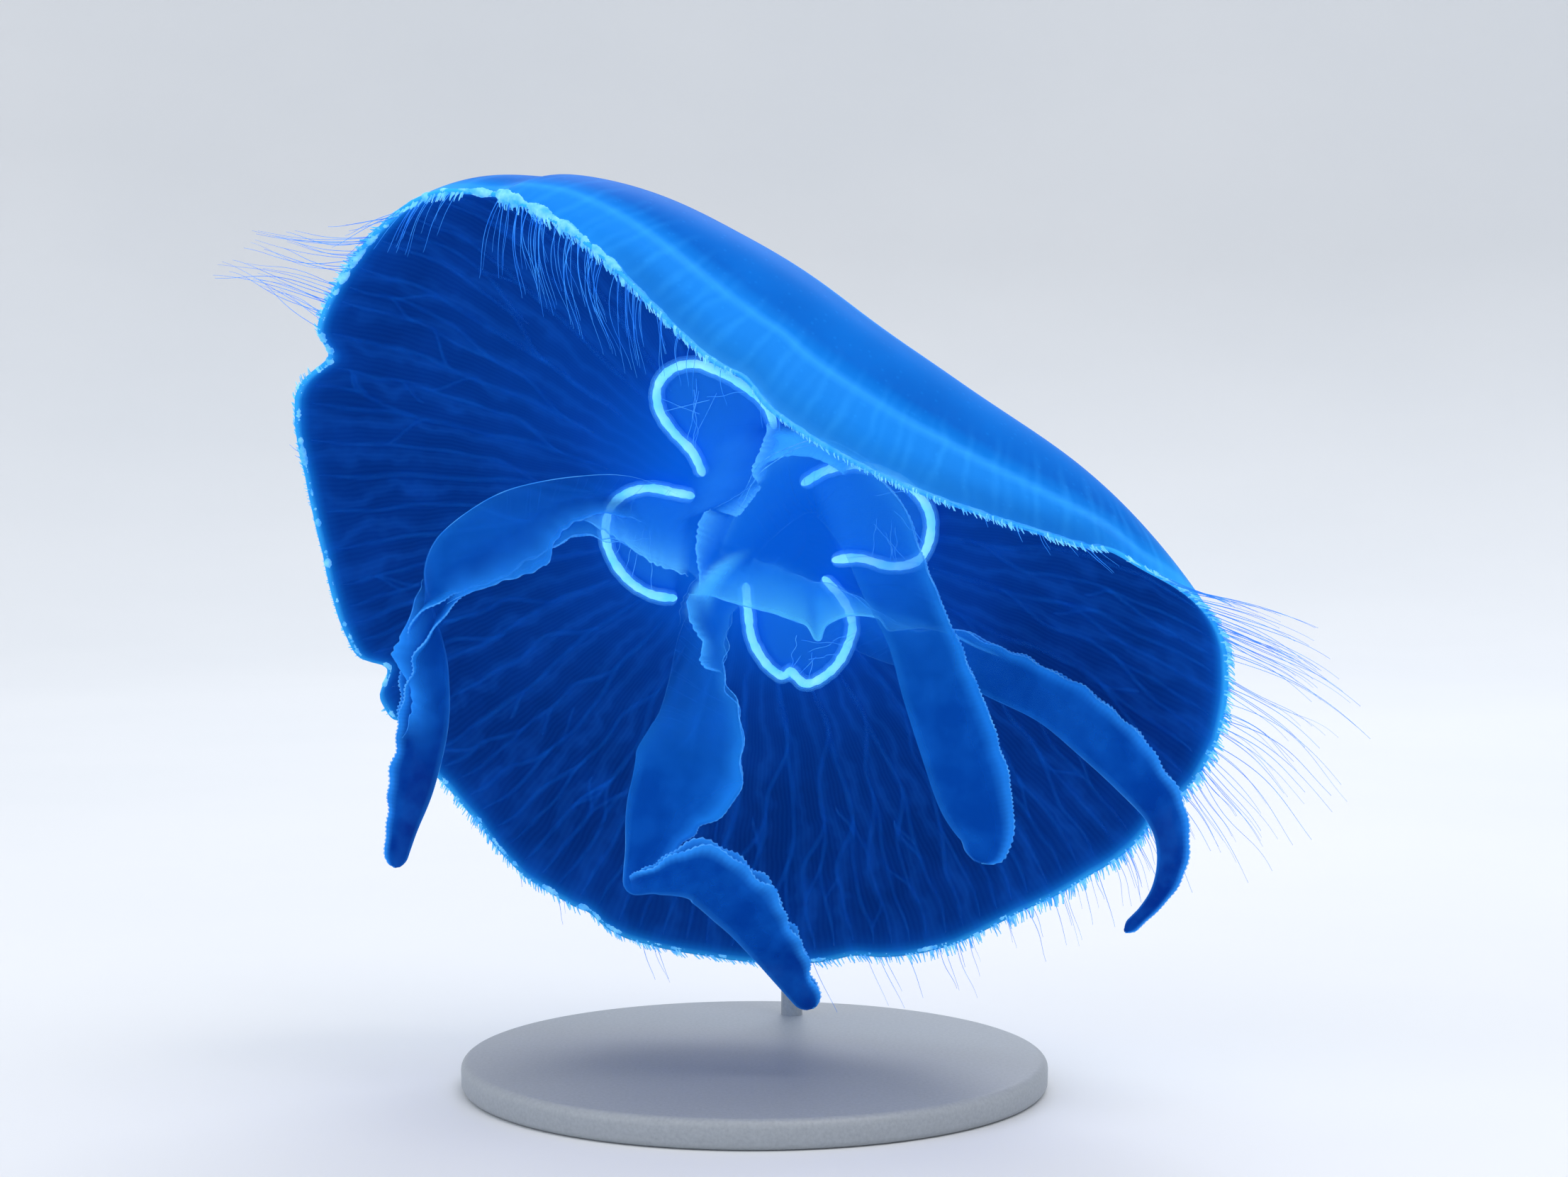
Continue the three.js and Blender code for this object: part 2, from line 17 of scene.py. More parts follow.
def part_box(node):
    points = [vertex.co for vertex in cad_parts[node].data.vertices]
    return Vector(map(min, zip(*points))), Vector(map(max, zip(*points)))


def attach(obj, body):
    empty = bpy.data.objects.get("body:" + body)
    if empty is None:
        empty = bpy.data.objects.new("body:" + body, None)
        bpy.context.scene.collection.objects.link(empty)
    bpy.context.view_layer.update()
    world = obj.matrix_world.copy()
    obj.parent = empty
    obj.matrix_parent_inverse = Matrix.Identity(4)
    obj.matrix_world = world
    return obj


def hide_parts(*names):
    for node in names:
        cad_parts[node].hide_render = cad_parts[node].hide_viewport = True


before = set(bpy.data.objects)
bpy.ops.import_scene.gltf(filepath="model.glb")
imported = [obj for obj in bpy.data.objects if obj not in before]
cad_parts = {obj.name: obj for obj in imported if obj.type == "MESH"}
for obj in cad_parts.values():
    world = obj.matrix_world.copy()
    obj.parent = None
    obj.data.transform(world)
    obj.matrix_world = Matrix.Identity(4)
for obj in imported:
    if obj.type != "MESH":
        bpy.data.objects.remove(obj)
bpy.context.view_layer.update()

MM = 0.001
RANDOM_SEED = 7

# ---- The bell -------------------------------------------------------------------------------

POLE = np.array([0.0, -10.0, 150.0])
HEADING = 20.8  # degrees that the axis points to the right of straight away from the viewer
RISE = 26.1  # degrees that the axis points above the horizon
SPIN = 36.8  # degrees that the bell is turned about its own axis

# Notches of the margin: angle, how far each draws the edge in, and its width in degrees. A small lappet
# stands between the two at 115.5 and 124.5.
NOTCHES = [(-3.5, 1.5, 3), (46.5, 1.5, 3), (81.5, 1.4, 2), (115.5, 6, 2.3), (120, 2.2, 2.4), (124.5, 7, 2.3),
           (174.5, 6, 3), (215, 6, 3), (260, 3, 3), (309, 3, 3)]
LOBE_CENTRE = 17.5  # angle of the first value in the lists below; the rest follow by 45
LOBE_REACH = [127, 130.3, 125, 121.8, 129.5, 121, 121, 133]  # pole to margin, along the meridian
LOBE_CURL = [-0.04, -0.04, 0.28, 0.28, 0.44, -0.08, 0.02, -0.04]  # extra turn at the margin, radians
NOTCH_START = 0.74  # where on the meridian the notch begins to draw the edge in
# Slow unevenness of the margin: angle, and millimetres that it is drawn in.
UNEVEN = np.array([
    (-26, 0), (-16, -1.8), (-10, -1.5), (-4, 0), (6, 0), (10, 0.9), (16, 1.3), (22, 2.2), (27, 1.8),
    (32, 1.1), (37, 1.3), (42, 2), (50, 2.2), (55, 1.6), (60, 0.7), (66, -0.2), (71, -1.6), (76, -2.8),
    (80, -2.6), (85, -1.4), (91, -1.7), (96, 0), (100, 2), (106, 3), (112, 2.5), (118, 0), (122, 0),
    (127, 2.3), (134, 1.9), (144, 2.7), (150, 2), (156, 1), (163, -1), (168, -1.5), (174, 0), (182, 0.5),
    (190, 0.8), (200, 0.2), (210, 0),
])
UNEVEN_MIDDLE = 154  # the table holds for half a turn to each side of this angle

ROOF_TURN = 0.45  # radians between the pole and the margin
ROOF_POWER = 1.7  # above 1, the roof is flatter by the pole
CURL_START = 0.5  # where on the meridian the lobes begin to curl
JELLY_CENTRE = 17.3  # thickness at the pole
JELLY_MARGIN = 1.2
JELLY_SWELL = [0, 0, 0, -0.6, 8.4, 1.8, -2.9, 2.4]  # more or less jelly towards each lobe
JELLY_POWER = 3  # the higher, the nearer to the margin the jelly stays thick
MERIDIAN_STEPS = 40

FOLD_SIDE = 268.5  # the side nearest the viewer is folded inwards about a bowed line
FOLD_START = 43  # millimetres from the pole
FOLD_RUN = 64  # over which it turns
FOLD_TURN = 1.56  # radians
FOLD_EASE = 16.4  # how softly the turn starts and stops
FOLD_BOW = 12.8  # how far the line is bowed, 100 mm to either side of its middle
FOLD_LEVEL = -4.1  # height of the layer that keeps its length
FOLD_REACH = (-20, 200)  # millimetres from the pole that the fold is worked out for
FOLD_STEP = 0.1

SKIN_COLUMNS = 720
SKIN_ROWS = 112
EDGE_ROWS = 5  # round the margin's own edge


def between(rows, place, around=False):
    """Smooth curve through rows of numbers; place is a row number and may fall between two rows."""
    rows = np.asarray(rows, float).reshape(len(rows), -1)
    place = np.asarray(place, float)
    last = len(rows) - 1
    start = np.floor(place).astype(int)
    if not around:
        start = np.clip(start, 0, last - 1)
    t = (place - start)[..., None]

    def pick(step):
        index = start + step
        return rows[index % len(rows)] if around else rows[np.clip(index, 0, last)]

    a, b, c, d = pick(-1), pick(0), pick(1), pick(2)
    return b + 0.5 * t * (c - a + t * (2 * a - 5 * b + 4 * c - d + t * (3 * (b - c) + d - a)))


def round_axis(radius, angle, height):
    """Points at an angle in radians and a radius from the upright axis."""
    return np.stack(np.broadcast_arrays(radius * np.cos(angle), radius * np.sin(angle), height), -1)


def lobe_value(values, phi):
    return between(values, (phi - LOBE_CENTRE) / 45, around=True)[..., 0]


def smooth_step(value, low, high):
    t = np.clip((value - low) / (high - low), 0, 1)
    return t * t * (3 - 2 * t)


def turned(phi, centre):
    """Degrees from centre to phi, between -180 and 180."""
    return (np.asarray(phi, float) - centre + 180) % 360 - 180


def notch_depth(phi):
    return sum(depth * np.exp(-((turned(phi, angle) / width) ** 2)) for angle, depth, width in NOTCHES)


def roof_slope(s, phi):
    curl = np.maximum(0, (s - CURL_START) / (1 - CURL_START))
    return ROOF_TURN * s**ROOF_POWER + lobe_value(LOBE_CURL, phi) * curl**2


def fold_path():
    """Along the fold's middle layer, for each distance from the pole: turn, forward and down."""
    v = np.arange(*FOLD_REACH, FOLD_STEP)

    def log_cosh(x):
        return np.abs(x) + np.log1p(np.exp(-2 * np.abs(x)))

    ease = log_cosh((v - FOLD_START) / FOLD_EASE) - log_cosh((v - FOLD_START - FOLD_RUN) / FOLD_EASE)
    turn = (FOLD_TURN / FOLD_RUN) * 0.5 * (FOLD_RUN + FOLD_EASE * ease)
    forward = FOLD_REACH[0] + np.concatenate([[0], np.cumsum(FOLD_STEP * np.cos(turn))[:-1]])
    down = np.concatenate([[0], np.cumsum(FOLD_STEP * np.sin(turn))[:-1]])
    return v, turn, forward, down


FOLD_PATH = fold_path()


def fold(points):
    side = math.radians(FOLD_SIDE)
    out = points[..., 0] * math.cos(side) + points[..., 1] * math.sin(side)
    across = -points[..., 0] * math.sin(side) + points[..., 1] * math.cos(side)
    bow = FOLD_BOW * (across / 100) ** 2
    turn, forward, down = (np.interp(out - bow, FOLD_PATH[0], column) for column in FOLD_PATH[1:])
    height = points[..., 2] - FOLD_LEVEL
    folded = forward + height * np.sin(turn) + bow
    moved = np.stack([
        folded * math.cos(side) - across * math.sin(side),
        folded * math.sin(side) + across * math.cos(side),
        FOLD_LEVEL - down + height * np.cos(turn),
    ], -1)
    return np.where((out - bow > FOLD_PATH[0][0])[..., None], moved, points)


def bell_point(s, phi, lift, hang=0.0):
    """A point of the bell. lift is 0 on the roof of the hollow and 1 on the outside; hang is a distance
    below the roof, for what hangs there."""
    s, phi = np.broadcast_arrays(np.asarray(s, float), np.asarray(phi, float))
    reach = lobe_value(LOBE_REACH, phi)
    uneven = np.interp(turned(phi, UNEVEN_MIDDLE), UNEVEN[:, 0] - UNEVEN_MIDDLE, UNEVEN[:, 1])
    run = s - (notch_depth(phi) + uneven) * smooth_step(s, NOTCH_START, 1) / reach
    radius, height = np.zeros(s.shape), np.zeros(s.shape)
    for i in range(MERIDIAN_STEPS):
        slope = roof_slope(run * (i + 0.5) / MERIDIAN_STEPS, phi)
        radius += reach * run * np.cos(slope) / MERIDIAN_STEPS
        height -= reach * run * np.sin(slope) / MERIDIAN_STEPS
    slope = roof_slope(run, phi)
    thickness = (JELLY_MARGIN + (JELLY_CENTRE - JELLY_MARGIN) * (1 - s**JELLY_POWER)
                 + lobe_value(JELLY_SWELL, phi) * 4 * s * (1 - s))
    rise = thickness * lift - hang
    radius = radius + rise * np.sin(slope)
    return fold(round_axis(radius, np.radians(phi), height + rise * np.cos(slope)))


def turn_matrix(degrees, axis):
    return np.array(Matrix.Rotation(math.radians(degrees), 3, axis))


BELL_TURN = turn_matrix(-HEADING, "Z") @ turn_matrix(-(90 - RISE), "X") @ turn_matrix(SPIN, "Z")


def from_bell(points):
    """Points of the bell's frame, in the object's frame."""
    return np.asarray(points) @ BELL_TURN.T + POLE


def on_bell(s, phi, lift=0.0, hang=0.0):
    return from_bell(bell_point(s, phi, lift, hang))


# ---- Mesh tools -----------------------------------------------------------------------------


class Shell:
    """Vertices in millimetres and faces, gathered from several forms into one mesh."""

    def __init__(self):
        self.points = []
        self.faces = []
        self.materials = []
        self.count = 0

    def add(self, points, faces, material=0):
        """faces is a list of arrays, each holding faces with the same number of corners."""
        points = np.asarray(points, float).reshape(-1, 3)
        for block in faces:
            if len(block):
                self.faces.append(np.asarray(block, int) + self.count)
                self.materials.append(np.full(len(block), material))
        self.points.append(points)
        self.count += len(points)
        return self

    def build(self, name, materials, uv=None, tone=None, body=None):
        """Makes the object. For each vertex, uv is its place on the bell's map, tone its colour, and body
        how dense its film is."""
        mesh = bpy.data.meshes.new(name)
        points = np.concatenate(self.points) * MM
        corners = np.concatenate([block.ravel() for block in self.faces])
        sizes = np.concatenate([np.full(len(block), block.shape[1]) for block in self.faces])
        starts = np.concatenate([[0], np.cumsum(sizes)[:-1]])
        mesh.vertices.add(len(points))
        mesh.vertices.foreach_set("co", points.ravel())
        mesh.loops.add(len(corners))
        mesh.loops.foreach_set("vertex_index", corners.astype(np.int32))
        mesh.polygons.add(len(sizes))
        mesh.polygons.foreach_set("loop_start", starts.astype(np.int32))
        mesh.polygons.foreach_set("loop_total", sizes.astype(np.int32))
        mesh.polygons.foreach_set("material_index", np.concatenate(self.materials).astype(np.int32))
        mesh.polygons.foreach_set("use_smooth", np.ones(len(sizes), bool))
        if uv is not None:
            layer = mesh.uv_layers.new(name=BELL_MAP)
            layer.data.foreach_set("uv", np.asarray(uv, float)[corners].ravel())
        if tone is not None:
            layer = mesh.attributes.new(TISSUE_TONE, "FLOAT_COLOR", "POINT")
            layer.data.foreach_set("color", np.column_stack([tone, np.ones(len(tone))]).ravel())
        if body is not None:
            layer = mesh.attributes.new(FILM_BODY, "FLOAT", "POINT")
            layer.data.foreach_set("value", body.astype(np.float32))
        mesh.update(calc_edges=True)
        mesh.validate()
        for material in materials:
            mesh.materials.append(material)
        piece = bpy.data.objects.new(name, mesh)
        bpy.context.scene.collection.objects.link(piece)
        return piece


def grid_faces(rows, columns, around=False, flip=False):
    """Quads of a grid of points; around joins the last column to the first."""
    width = columns if around else columns - 1
    row, column = np.meshgrid(np.arange(rows - 1), np.arange(width), indexing="ij")
    after = (column + 1) % columns
    quads = np.stack([row * columns + column, row * columns + after,
                      (row + 1) * columns + after, (row + 1) * columns + column], -1).reshape(-1, 4)
    return quads[:, ::-1] if flip else quads


def fan(first, count, hub, flip=False):
    """Triangles from a ring of points, numbered on from first, to a hub."""
    column = np.arange(count)
    after = (column + 1) % count
    if flip:
        column, after = after, column
    return np.stack([first + column, first + after, np.full(count, hub)], -1)


def unit(vectors):
    return vectors / np.maximum(np.linalg.norm(vectors, axis=-1, keepdims=True), 1e-12)


SQUEEZE = 0.4  # share of its height that a flattened tube loses


def tubes(paths, radii, sides, flatten=None):
    """Closed round tubes along many paths at once. paths is (tubes, stations, 3) and radii (tubes,
    stations); flatten is the way to squeeze the section at each station."""
    paths, radii = np.asarray(paths, float), np.asarray(radii, float)
    count, stations = radii.shape
    along = unit(np.gradient(paths, axis=1))
    start = np.where(np.abs(along[:, :1, 2:]) < 0.9, [0.0, 0.0, 1.0], [1.0, 0.0, 0.0])
    side = unit(start - np.sum(start * along[:, :1], -1, keepdims=True) * along[:, :1])[:, 0]
    turn = 2 * np.pi * np.arange(sides) / sides
    rings = np.empty((count, stations, sides, 3))
    for i in range(stations):
        tangent = along[:, i]
        side = unit(side - np.sum(side * tangent, -1, keepdims=True) * tangent)
        up = np.cross(tangent, side)
        spoke = np.cos(turn)[None, :, None] * side[:, None] + np.sin(turn)[None, :, None] * up[:, None]
        if flatten is not None:
            way = flatten[:, i][:, None]
            spoke = spoke - SQUEEZE * np.sum(spoke * way, -1, keepdims=True) * way
        rings[:, i] = paths[:, i][:, None] + radii[:, i][:, None, None] * spoke
    points = np.concatenate([rings.reshape(count, -1, 3), paths[:, :1], paths[:, -1:]], 1)
    each = stations * sides + 2
    quads = grid_faces(stations, sides, around=True)
    ends = np.concatenate([fan(0, sides, each - 2, flip=True), fan((stations - 1) * sides, sides, each - 1)])
    offsets = (np.arange(count) * each)[:, None, None]
    return points.reshape(-1, 3), [(quads + offsets).reshape(-1, 4), (ends + offsets).reshape(-1, 3)]


def resample(path, stations):
    """The same curve with its points evenly spaced."""
    path = np.asarray(path, float)
    run = np.concatenate([[0], np.cumsum(np.linalg.norm(np.diff(path, axis=0), axis=1))])
    want = np.linspace(0, run[-1], stations)
    return np.stack([np.interp(want, run, path[:, k]) for k in range(3)], -1)


# ---- Finishes -------------------------------------------------------------------------------


def colour(code):
    """An sRGB hex value as linear red, green, blue and 1."""
    channels = [int(code[i:i + 2], 16) / 255 for i in (1, 3, 5)]
    return (*[c / 12.92 if c <= 0.04045 else ((c + 0.055) / 1.055) ** 2.4 for c in channels], 1.0)


def tones(value, stops):
    """Linear colours for an array of values. Stops are (value, hex)."""
    places = [place for place, _ in stops]
    channels = np.array([colour(code)[:3] for _, code in stops]).T
    return np.stack([np.interp(value, places, channel) for channel in channels], -1)


def tinted(tone, code, share):
    return tone + (np.array(colour(code)[:3]) - tone) * share


def add(tree, kind, inputs=None, **settings):
    """Adds a node. An input is a value for a socket or another node's output, and a setting is the node's
    own."""
    node = tree.nodes.new("ShaderNode" + kind)
    for name, value in settings.items():
        setattr(node, name, value)
    for name, value in (inputs or {}).items():
        socket = node.inputs[name]
        if isinstance(value, bpy.types.NodeSocket):
            tree.links.new(value, socket)
        else:
            socket.default_value = value
    return node


def finish(name, shader, **inputs):
    """A material with one Principled shader. shader(tree) gives the inputs that a pattern drives."""
    material = bpy.data.materials.new(name)
    material.use_nodes = True
    tree = material.node_tree
    tree.nodes.clear()
    values = {key.replace("_", " "): value for key, value in inputs.items()}
    values.update(shader(tree))
    surface = add(tree, "BsdfPrincipled", values)
    add(tree, "OutputMaterial", {"Surface": surface.outputs["BSDF"]})
    return material


BELL_MAP = "bell_disc"
DISC_SIZE = 260.0  # millimetres that the bell's flat map is across
DISC_REACH = 125  # from its middle to the margin
TISSUE_TONE = "tissue_tone"  # the slow change of colour over a piece
FILM_BODY = "film_body"  # how dense a film is


def flat_place(tree):
    """Millimetres on the flattened bell."""
    flat = add(tree, "UVMap", uv_map=BELL_MAP).outputs["UV"]
    centred = add(tree, "VectorMath", {0: flat, 1: (0.5, 0.5, 0)}, operation="SUBTRACT").outputs["Vector"]
    return add(tree, "VectorMath", {0: centred, "Scale": DISC_SIZE}, operation="SCALE").outputs["Vector"]


def noise(tree, place, size, detail):
    """Clouds of the given size in millimetres, from 0 to 1."""
    return add(tree, "TexNoise", {"Vector": place, "Scale": 1 / size, "Detail": detail}).outputs["Fac"]


def times(tree, first, second):
    return add(tree, "Math", {0: first, 1: second}, operation="MULTIPLY").outputs["Value"]


def remap(tree, value, low, high, to_low=0.0, to_high=1.0):
    return add(tree, "MapRange", {"Value": value, "From Min": low, "From Max": high,
                                  "To Min": to_low, "To Max": to_high}).outputs["Result"]


def blend(tree, share, low, high):
    """From one colour to another; each is a hex value or a node's output."""
    low, high = (colour(end) if isinstance(end, str) else end for end in (low, high))
    return add(tree, "Mix", {0: share, 6: low, 7: high}, data_type="RGBA").outputs[2]


def bump(tree, height, strength, depth):
    """Relief up to depth millimetres high."""
    return add(tree, "Bump", {"Height": height, "Strength": strength,
                              "Distance": depth * MM}).outputs["Normal"]


def carried(tree):
    """The colour and the density that a piece carries at its vertices."""
    return (add(tree, "Attribute", attribute_name=TISSUE_TONE).outputs["Color"],
            add(tree, "Attribute", attribute_name=FILM_BODY).outputs["Fac"])


# The tone is also set as the emission: a painted glow in the piece's own colour.
def with_painted_glow(tone, body, normal):
    return {"Base Color": tone, "Emission Color": tone, "Alpha": body, "Normal": normal}


def fibres(tree, place, count, wander):
    """Radial fibres, count of them round the bell, that wander over patches of 12 mm. From 0 to 1."""
    parts = add(tree, "SeparateXYZ", {0: place})
    angle = add(tree, "Math", {0: parts.outputs["Y"], 1: parts.outputs["X"]}, operation="ARCTAN2").outputs[0]
    shift = times(tree, noise(tree, place, 12, 3.0), wander)
    phase = add(tree, "Math", {0: angle, 1: float(count), 2: shift}, operation="MULTIPLY_ADD").outputs[0]
    return remap(tree, add(tree, "Math", {0: phase}, operation="SINE").outputs["Value"], -1.0, 1.0)


def underside(tree):
    """Wet membrane over water-filled jelly: clouds of denser jelly 20 mm across, soft radial folds about
    12 mm apart, and muscle fibres about 1.7 mm apart that are only just seen."""
    place = flat_place(tree)
    tone, body = carried(tree)
    cloud = noise(tree, place, 20, 4.0)
    tone = blend(tree, remap(tree, cloud, 0.4, 0.75, to_high=0.14), tone, "#0f52c4")
    broad = add(tree, "Math", {0: fibres(tree, place, 58, 9.0), 1: 3.0}, operation="POWER").outputs["Value"]
    tone = blend(tree, remap(tree, times(tree, broad, cloud), 0.0, 1.0, to_high=0.3), tone, "#1460cc")
    tone = blend(tree, times(tree, fibres(tree, place, 440, 16.0), 0.03), tone, "#2a78e8")
    return with_painted_glow(tone, body, bump(tree, cloud, 0.15, 0.6))


def outside(tree):
    """Firm clear jelly, cast smooth: clouds of 30 mm, soft streaks 4 mm apart that run across the thin
    margin, and warts of nettle cells 2.6 mm apart."""
    place = flat_place(tree)
    tone, body = carried(tree)
    tone = blend(tree, remap(tree, noise(tree, place, 30, 4.0), 0.35, 0.7, to_high=0.18), tone, "#1088f0")
    out = add(tree, "VectorMath", {0: place}, operation="LENGTH").outputs["Value"]
    edge = remap(tree, out, 100.0, 112.0, to_high=0.32)
    streak = times(tree, times(tree, fibres(tree, place, 190, 9.0), fibres(tree, place, 83, 7.0)), edge)
    tone = blend(tree, times(tree, streak, noise(tree, place, 9, 3.0)), tone, "#38a8fc")
    wart = add(tree, "TexVoronoi", {"Vector": place, "Scale": 1 / 2.6}, feature="F1").outputs["Distance"]
    tone = blend(tree, remap(tree, wart, 0.08, 0.22, 0.1, 0.0), tone, "#2ca0fa")
    return with_painted_glow(tone, body, bump(tree, wart, 0.05, 0.2))


def place_in_mm(tree):
    """The object's own millimetres."""
    own = add(tree, "TexCoord").outputs["Object"]
    return add(tree, "VectorMath", {0: own, "Scale": 1000.0}, operation="SCALE").outputs["Vector"]


def mottled(low, high, grain, bump_depth=0.2, glows=True):
    """Colour that drifts between two tones over patches of the given size in millimetres."""

    def shader(tree):
        cloud = noise(tree, place_in_mm(tree), grain, 4.0)
        tone = blend(tree, remap(tree, cloud, 0.3, 0.7), low, high)
        # Where glows is set, the tone is also the emission: a painted glow.
        glow = {"Emission Color": tone} if glows else {}
        return {"Base Color": tone, "Normal": bump(tree, cloud, 0.3, bump_depth), **glow}

    return shader


def folded_film(tree):
    """Thin wet membrane, bright and clear by the mouth and denser to the tips, in clouds of 9 mm."""
    tone, body = carried(tree)
    cloud = noise(tree, place_in_mm(tree), 9, 4.0)
    tone = blend(tree, remap(tree, cloud, 0.4, 0.75, to_high=0.25), tone, "#1c80ec")
    return with_painted_glow(tone, body, bump(tree, cloud, 0.3, 0.4))


def tissue(name, shader, roughness, glow, alpha=1.0):
    """Wet living tissue. It is mostly water, so its IOR is about 1.35. It also glows a little in its own
    colour: a painted glow that stands in for light that passes through it."""
    return finish(name, shader, Roughness=roughness, Emission_Strength=glow, Alpha=alpha,
                  IOR=1.35, Specular_IOR_Level=0.01)


lining = tissue("subumbrella membrane, wet", underside, 0.42, 0.3)
jelly = tissue("mesoglea jelly, cast smooth", outside, 0.34, 0.3)
# Food canals: hardly seen, soft-edged, paler in patches of 9 mm.
canal_tissue = tissue("canal tissue, pale", mottled("#0858cc", "#1274e4", 9), 0.5, 0.3, alpha=0.06)
# Muscle, nerve and tentacle roots crowded into a bright cord, uneven over 2.5 mm.
rim_tissue = tissue("margin tissue, beaded", mottled("#3ca8f6", "#88dafe", 2.5), 0.4, 0.4, alpha=0.85)
# Hair-fine hollow threads, clear and full of nettle cells.
tentacle_tissue = tissue("tentacle threads, translucent", mottled("#2078e8", "#40a0f6", 5), 0.4, 0.35,
                         alpha=0.6)
# Ripe gonads are milky and the brightest part of the animal, by the strongest painted glow here; a clear
# wall surrounds each, drawn lighter and glowing as a painted halo.
gonad_tissue = tissue("gonad tissue, milky", mottled("#70e4fe", "#a8f6ff", 6), 0.45, 0.58)
gonad_glow_halo = tissue("gonad wall, clear, with painted glow halo", mottled("#3c9cf4", "#5cb6fc", 6), 0.4, 0.4, alpha=0.16)
# Films one or two cells thick over jelly: the pouches, the arms, and the arms' frilled lips.
pouch_film = tissue("gonad pouch membrane, clear", folded_film, 0.4, 0.35)
arm_film = tissue("oral arm membrane, folded", folded_film, 0.36, 0.35)
lip_tissue = tissue("lip fringe, finely frilled", mottled("#2c90f0", "#60bcfc", 3), 0.4, 0.35, alpha=0.5)


# ---- Gonads ---------------------------------------------------------------------------------

# Rows are places along each tube: millimetres from the axis towards the gonad's own side, and across.
GONAD_ANGLE = 45  # side of the first; the others follow by 90
GONADS = [
    [[15.7, 6.7], [23.7, 8.6], [32.1, 10], [39.4, 8.4], [43.6, 5.3], [43.6, 3.2], [42.7, 1.8], [44.7, 0.6],
     [46.9, -1.5], [45.8, -6.2], [41.9, -12.3], [35.6, -17.5], [30.1, -19.9], [23.7, -19.3], [16.3, -15.6]],
    [[12.8, 11.4], [18.3, 13.4], [24.5, 15.5], [30.9, 15.1], [36.6, 12.1], [40.3, 6.9], [42, 0.7],
     [41.4, -5.7], [38.7, -11.6], [33.8, -15.8], [27.6, -17.6]],
    [[17, -8.3], [24.1, -9], [30.6, -12.2], [37.6, -13.9], [44.4, -11.8], [48.8, -6.2], [49.6, 0.9],
     [46.3, 7.1], [41.2, 12.3], [35.3, 16.2], [28.1, 16.1]],
    [[18.2, -11.1], [25.9, -14.3], [33.9, -15.3], [42, -13.1], [48.4, -7.9], [51.2, -0.3], [49, 7.7],
     [43.6, 14], [35.5, 15], [27.6, 11.9], [19.7, 11.7]],
]
GONAD_CORE = 1.1
# The clear wall is drawn as a painted glow halo that fades outwards.
GONAD_WALLS = (1.65, 2.2)  # the clear wall round it thins out in two layers
GONAD_DROP = 2.25  # below the roof
GONAD_STATIONS = 150
GONAD_SIDES = 14
POUCH_RINGS = [(0.05, 0.4), (0.35, 0.4), (0.7, 0.4), (0.85, 0.28), (0.97, 0)]  # share outwards, density
POUCH_TONE = "#2084ea"
POUCH_FILAMENTS = 7


def gonad_line(index):
    """Places along a gonad in the bell's own plan, in millimetres."""
    rows = GONADS[index]
    out, across = between(rows, np.linspace(0, len(rows) - 1, GONAD_STATIONS)).T
    side = math.radians(GONAD_ANGLE + 90 * index)
    return np.stack([out * math.cos(side) - across * math.sin(side),
                     out * math.sin(side) + across * math.cos(side)], -1)


def under_roof(plan, hang):
    """Points under the roof, from places in the bell's plan."""
    phi = np.degrees(np.arctan2(plan[..., 1], plan[..., 0]))
    return on_bell(np.hypot(plan[..., 0], plan[..., 1]) / lobe_value(LOBE_REACH, phi), phi, 0, hang)


def gonad_loop(index, random):
    """A milky, slightly lumpy tube in a horseshoe, open towards the mouth, inside its clear wall."""
    path = resample(under_roof(gonad_line(index), GONAD_DROP), GONAD_STATIONS)
    t = np.linspace(0, 1, GONAD_STATIONS)
    lumps = sum(random.uniform(0.03, 0.06) * np.sin(2 * np.pi * rate * t + random.uniform(0, 6))
                for rate in (5, 9, 17, 31))
    ends = 0.35 + 0.65 * np.sqrt(np.clip(np.minimum(t, 1 - t) / 0.02, 0, 1))
    shell = Shell()
    shell.add(*tubes(path[None], (GONAD_CORE * (1 + lumps) * ends)[None], GONAD_SIDES))
    # Painted glow halo: the clear wall in two fading layers.
    for wall in GONAD_WALLS:
        shell.add(*tubes(path[None], (wall * (1 + 0.4 * lumps) * ends)[None], GONAD_SIDES), material=1)
    return shell.build(f"gonad_loop_{index + 1}", [gonad_tissue, gonad_glow_halo])


def gonad_pouches(random):
    """The pouch inside each horseshoe, one shade lighter than the roof, with a few fine filaments."""
    film, filaments = Shell(), Shell()
    for index in range(4):
        line = gonad_line(index)[::3]
        middle, count = line.mean(0), len(line)
        rings = [under_roof(middle + (line - middle) * share, 0.9 - 0.5 * share) for share, _ in POUCH_RINGS]
        points = np.concatenate([*rings, under_roof(middle, 0.9)[None]])
        film.add(points, [grid_faces(len(rings), count, around=True),
                          fan(0, count, len(points) - 1, flip=True)])
        for _ in range(POUCH_FILAMENTS):
            start = random.integers(4, count - 4, 2)[0]
            t = np.linspace(0, 1, 24)[:, None]
            wave = 0.6 * np.sin(np.pi * t) * np.sin(t * random.uniform(6, 14) + random.uniform(0, 6))
            inner = middle + random.uniform(-5, 5, 2)
            path = under_roof(line[start] * (1 - t) + inner * t + wave * random.uniform(-1, 1, 2), 1.2)
            filaments.add(*tubes(path[None], np.full((1, len(t)), 0.09), 4))
    density = [body for _, body in POUCH_RINGS]
    body = np.tile(np.append(np.repeat(density, count), density[0]), 4)
    tone = np.broadcast_to(colour(POUCH_TONE)[:3], (len(body), 3))
    return (film.build("gonad_pouches", [pouch_film], tone=tone, body=body),
            filaments.build("gonad_filaments", [lip_tissue]))


# ---- Bell -----------------------------------------------------------------------------------

